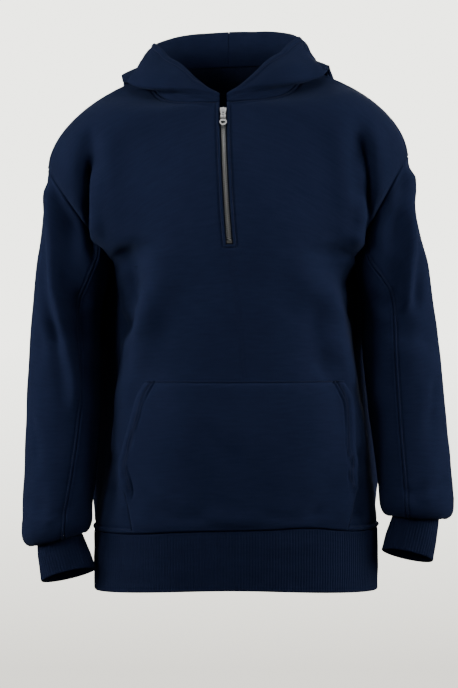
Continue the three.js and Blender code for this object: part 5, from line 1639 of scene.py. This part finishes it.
# %% [markdown]
# ## The zip
#
# A metal zip has two woven tapes with a row of teeth clamped on each. Each tooth has a wide foot, a narrow
# waist and a round head that sits between the waists of two teeth of the other row. The slider, its pull
# and the bottom stop are hard pieces, so the CAD solids stay, and only get a metal finish.

# %% Zip tape
TAPE_HALF, TAPE_THICK, TAPE_BEHIND = 14, 1, WALL + 1.4
CHAIN_TOP, CHAIN_THICK, CHAIN_START, CHAIN_END = -1.5, 2.2, 13.5, 14  # its ends, from the ends of the tape
TOOTH_PITCH, TOOTH_BEVEL, TOOTH_CROWN = 3.0, 0.3, 0.86  # the crown is smaller than the tooth by this factor
TOOTH = [(3, 0.5), (1.15, 0.5), (0.75, 0.32), (0.1, 0.32), (-0.25, 0.5), (-0.7, 0.44), (-0.88, 0.2)]
BEAD, BEAD_AT, BEAD_WIDTH = 0.7, 2.6, 0.8  # the cord in the edge of the tape that the teeth grip
zip_rows = np.flatnonzero((front_rows > SLIT_ROW - 0.32) & (front_rows < CORNER_ROW - 0.01))
zip_left, zip_right = (front[zip_rows, c] for c in front_slit)
zip_middle = (zip_left + zip_right) / 2
zip_across = unit(zip_right - zip_left)
zip_out = unit(sum(front_normals[zip_rows, c] for c in front_slit))
zip_out = unit(zip_out - zip_across * (zip_out * zip_across).sum(-1, keepdims=True))


def zip_frame(at):
    """The zip's middle, its way across and its way out at distances up from the lowest row."""
    along = run_of(zip_middle)
    return [read_off(at, along, values) for values in (zip_middle, zip_across, zip_out)]


across = np.array([-TAPE_HALF, -10, -7, -5, -3.9, -3.2, -2.2, -0.6, 0.6, 2.2, 3.2, 3.9, 5, 7, 10, TAPE_HALF])
bead = BEAD * np.exp(-((np.abs(across) - BEAD_AT) / BEAD_WIDTH) ** 2)
tape_grid = (zip_middle[:, None] + zip_across[:, None] * across[None, :, None]
             + zip_out[:, None] * (bead - TAPE_BEHIND)[None, :, None])
keep = np.ones((len(zip_rows) - 1, len(across) - 1), bool)
keep[:, len(across) // 2 - 1] = False
tape, _, _ = cloth("zip_tape_woven", tape_grid, quads_of(tape_grid.shape, keep=keep), [TAPE, TAPE],
                   thickness=TAPE_THICK, roll=(0.25, 0.5), trim=0)
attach(tape, "garment")
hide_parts("zip_tape")


print("tape", tape_grid.shape[:2])

# %% [markdown]
# ## Teeth
#
# The teeth of one row are half a pitch further on than those of the other, so that they mesh. Each is an
# outline with a bevelled crown.

# %% Zip teeth


def teeth(name, start, end):
    """Both rows of teeth, from one distance up the zip to another."""
    half = np.array(TOOTH)
    outline = np.concatenate([half * [1, -1], half[::-1]])
    centre = outline.mean(0)
    crown = centre + (outline - centre) * TOOTH_CROWN
    rings = [(outline, CHAIN_TOP - CHAIN_THICK), (outline, CHAIN_TOP - TOOTH_BEVEL), (crown, CHAIN_TOP)]
    count = len(outline)
    points, faces = [], []
    for side in (-1, 1):
        at = np.arange(start + (side > 0) * TOOTH_PITCH / 2, end, TOOTH_PITCH)
        middle, way, out = zip_frame(at)
        up = np.cross(way, out)
        for m, a, o, u in zip(middle, way, out, up):
            base = len(points)
            for ring, height in rings:
                points += [m + a * side * x - u * z + o * height for x, z in ring]
            turn = 1 if side > 0 else -1
            for low, high in ((0, count), (count, 2 * count)):
                for k in range(count):
                    j = (k + 1) % count
                    faces.append([base + low + k, base + low + j, base + high + j, base + high + k][::turn])
            faces.append([base + 2 * count + k for k in range(count)][::turn])
            faces.append([base + k for k in range(count)][::-turn])
    made = build(name, np.array(points), faces, np.zeros(len(faces)), [TEETH])
    made.data.polygons.foreach_set("use_smooth", np.zeros(len(faces), bool))
    print(f"{name}: {len(points) // (3 * count)} teeth")
    return made


zip_length = np.linalg.norm(np.diff(zip_middle, axis=0), axis=1).sum()
chain = teeth("zip_teeth", CHAIN_START, zip_length - CHAIN_END)
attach(chain, "garment")
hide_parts("zip_chain")
for name in ("zip_stop", "zip_slider", "zip_pull"):
    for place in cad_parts[name].material_slots:
        place.material = NICKEL
print("zip", round(zip_length), "mm of tape")

# %% [markdown]
# ## Rows of stitches
#
# Only the rows that show outside are sewn here: round the neck, the box round the zip, above the hem band,
# on the pocket, beside both seams of each sleeve's top piece, and along the hood's rim.

# %% Sewn rows


def beside(sheet, rows, columns, distance, **edge):
    """A line of stitches beside an edge of some rows and columns of a sheet (its face and normals)."""
    face, normals = (values[rows][:, columns] for values in sheet)
    return inset(face, normals, distance, **edge)


def both_sides(sheet, rows, distance):
    return [beside(sheet, rows, every, distance, axis=1, end=end) for end in (False, True)]


every = slice(None)
box_rows = np.flatnonzero((front_rows > SLIT_ROW - 0.19) & (front_rows <= CORNER_ROW + NUDGE))
sheet = (front_face, front_normals)
left, right = slice(front_slit[0] + 1), slice(front_slit[1], None)
foot = slice(front_slit[0] - 6, front_slit[1] + 7)
stitches("front_stitches", [
    beside(sheet, box_rows, left, ZIP_STITCH, axis=1, end=True),
    beside(sheet, box_rows, right, ZIP_STITCH, axis=1),
    beside(sheet, slice(slit[0] + 1), every, ZIP_STITCH, end=True, part=foot),
    beside(sheet, neck_front, left, NECK_STITCH, axis=1, end=True),
    beside(sheet, neck_front, right, NECK_STITCH, axis=1),
    beside(sheet, every, every, HEM_ROW),
], THREAD_NAVY)
sheet = (back_face, back_normals)
left, right = slice(back_strip[0] + 1), slice(back_strip[1], None)
foot = slice(back_strip[0], back_strip[1] + 1)
stitches("back_stitches", [
    beside(sheet, neck_back, left, NECK_STITCH, axis=1, end=True),
    beside(sheet, neck_back, right, NECK_STITCH, axis=1),
    beside(sheet, slice(neck_back[0] + 1), every, NECK_STITCH, end=True, part=foot),
    beside(sheet, every, every, HEM_ROW),
], THREAD_NAVY)
for side, (_, *sheet) in hood.items():
    stitches(f"hood_{side}_stitches", [beside(sheet, every, every, RIM_ROW, end=True)], THREAD_NAVY)
for side in ("right", "left"):
    lines = both_sides(faces[f"sleeve_top_{side}"], every, SLEEVE_ROW)
    stitches(f"sleeve_{side}_stitches", lines, THREAD_NAVY)
sheet = (pocket_face, pocket_normals)
high, low = np.flatnonzero(~sides_low), np.flatnonzero(sides_low)
lines = [beside(sheet, every, every, POCKET_TOP_ROW, end=True)]
for distance in POCKET_ROWS:
    lines += both_sides(sheet, high, distance)
lines += both_sides(sheet, low, POCKET_SIDE_ROW)
stitches("pocket_stitches", lines, THREAD_NAVY)

# %% [markdown]
# ## The cut
#
# The sizes that the top and under piece of each sleeve were cut to are listed here: width, length and area,
# in metres.

# %% Cut sizes


for side, top, under in (("right", (0.27, 0.56, 0.116), (0.13, 0.50, 0.050)),
                         ("left", (0.26, 0.53, 0.107), (0.14, 0.48, 0.055))):
    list(top)
    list(under)

# %% [markdown]
# ## The stage
#
# A plain pale floor under a pale backdrop, whose glow darkens towards the ground as painted shade. Most of
# the light comes from softboxes at both sides, because light from the side is what shows a crease. The
# camera alone sees the backdrop's brightness, so it doesn't wash out the cloth.

# %% Backdrop
BACKDROP_STRENGTH, AMBIENT_STRENGTH = 3.6, 0.10  # for the camera, and for the light that falls on the cloth
world = bpy.data.worlds.new("studio")
world.use_nodes = True
bpy.context.scene.world = world
tree = world.node_tree
ambient = tree.nodes["Background"]
ambient.inputs["Color"].default_value = (1, 1, 0.97, 1)
ambient.inputs["Strength"].default_value = AMBIENT_STRENGTH
backdrop = tree.nodes.new("ShaderNodeBackground")
backdrop.inputs["Strength"].default_value = BACKDROP_STRENGTH
way = tree.nodes.new("ShaderNodeSeparateXYZ")
tree.links.new(tree.nodes.new("ShaderNodeTexCoord").outputs["Generated"], way.inputs[0])
# Painted shade: the backdrop's glow fades from pale to grey as the view turns down towards the ground.
height = scaled(tree, way.outputs[2], 8, 1.0)
height.node.use_clamp = True
tree.links.new(blend_colours(tree, height, (0.455, 0.44, 0.395), (1, 1, 0.91)), backdrop.inputs["Color"])
chosen = tree.nodes.new("ShaderNodeMixShader")
tree.links.new(tree.nodes.new("ShaderNodeLightPath").outputs["Is Camera Ray"], chosen.inputs[0])
tree.links.new(ambient.outputs[0], chosen.inputs[1])
tree.links.new(backdrop.outputs[0], chosen.inputs[2])
tree.links.new(chosen.outputs[0], tree.nodes["World Output"].inputs["Surface"])
print("backdrop", BACKDROP_STRENGTH, "ambient", AMBIENT_STRENGTH)

# %% [markdown]
# ## Softboxes
#
# A softbox is a square light that is pointed at a spot on the garment. Each has its place, the spot it
# points at, its width in metres and its power in watts.

# %% Softboxes


def softbox(name, place, target, size, power):
    data = bpy.data.lights.new(name, "AREA")
    data.shape, data.size, data.energy, data.spread = "SQUARE", size, power, math.radians(75)
    made = bpy.data.objects.new(name, data)
    made.location = place
    made.rotation_euler = (Vector(target) - Vector(place)).to_track_quat("-Z", "Y").to_euler()
    bpy.context.scene.collection.objects.link(made)


softbox("softbox_left", (-1.8, -1.7, 0.4), (-0.1, 0, -0.15), 0.8, 3.8)
softbox("softbox_right", (1.9, -1.6, 0.4), (0.1, 0, -0.15), 0.9, 3.2)
softbox("softbox_top", (0, -0.7, 1.7), (0, 0, -0.1), 1.0, 1.5)
softbox("side_left", (-2.2, -0.25, 0.0), (-0.2, 0, -0.4), 1.3, 7)
softbox("side_right", (2.2, -0.25, 0.0), (0.2, 0, -0.4), 1.3, 7)
softbox("softbox_back", (0.3, 2.4, 0.5), (0, 0, -0.3), 1.3, 7)
print(len(bpy.data.lights), "softboxes")

# %% [markdown]
# ## The floor
#
# The floor is for the camera only: it throws no light of its own on the cloth.

# %% Floor and size
FLOOR_HALF, FLOOR_Z = 3.0, -1.55
corners = [(FLOOR_HALF * x, FLOOR_HALF * y, FLOOR_Z) for x, y in ((-1, -1), (1, -1), (1, 1), (-1, 1))]
floor_mesh = bpy.data.meshes.new("floor")
floor_mesh.from_pydata(corners, [], [(0, 1, 2, 3)])
floor = bpy.data.objects.new("floor", floor_mesh)
bpy.context.scene.collection.objects.link(floor)
paint, tree, shader = new_material("floor_paint", 0.8)
shade = noise(tree, node(tree, "ShaderNodeTexCoord").outputs["Object"], 3, 2)
colour = blend_colours(tree, shade, (0.80, 0.80, 0.78), (0.84, 0.84, 0.82))
tree.links.new(colour, shader.inputs["Base Color"])
shader.inputs["Emission Color"].default_value = (1, 1, 0.97, 1)
shader.inputs["Emission Strength"].default_value = 1.3
floor_mesh.materials.append(paint)
floor.visible_diffuse = floor.visible_glossy = False
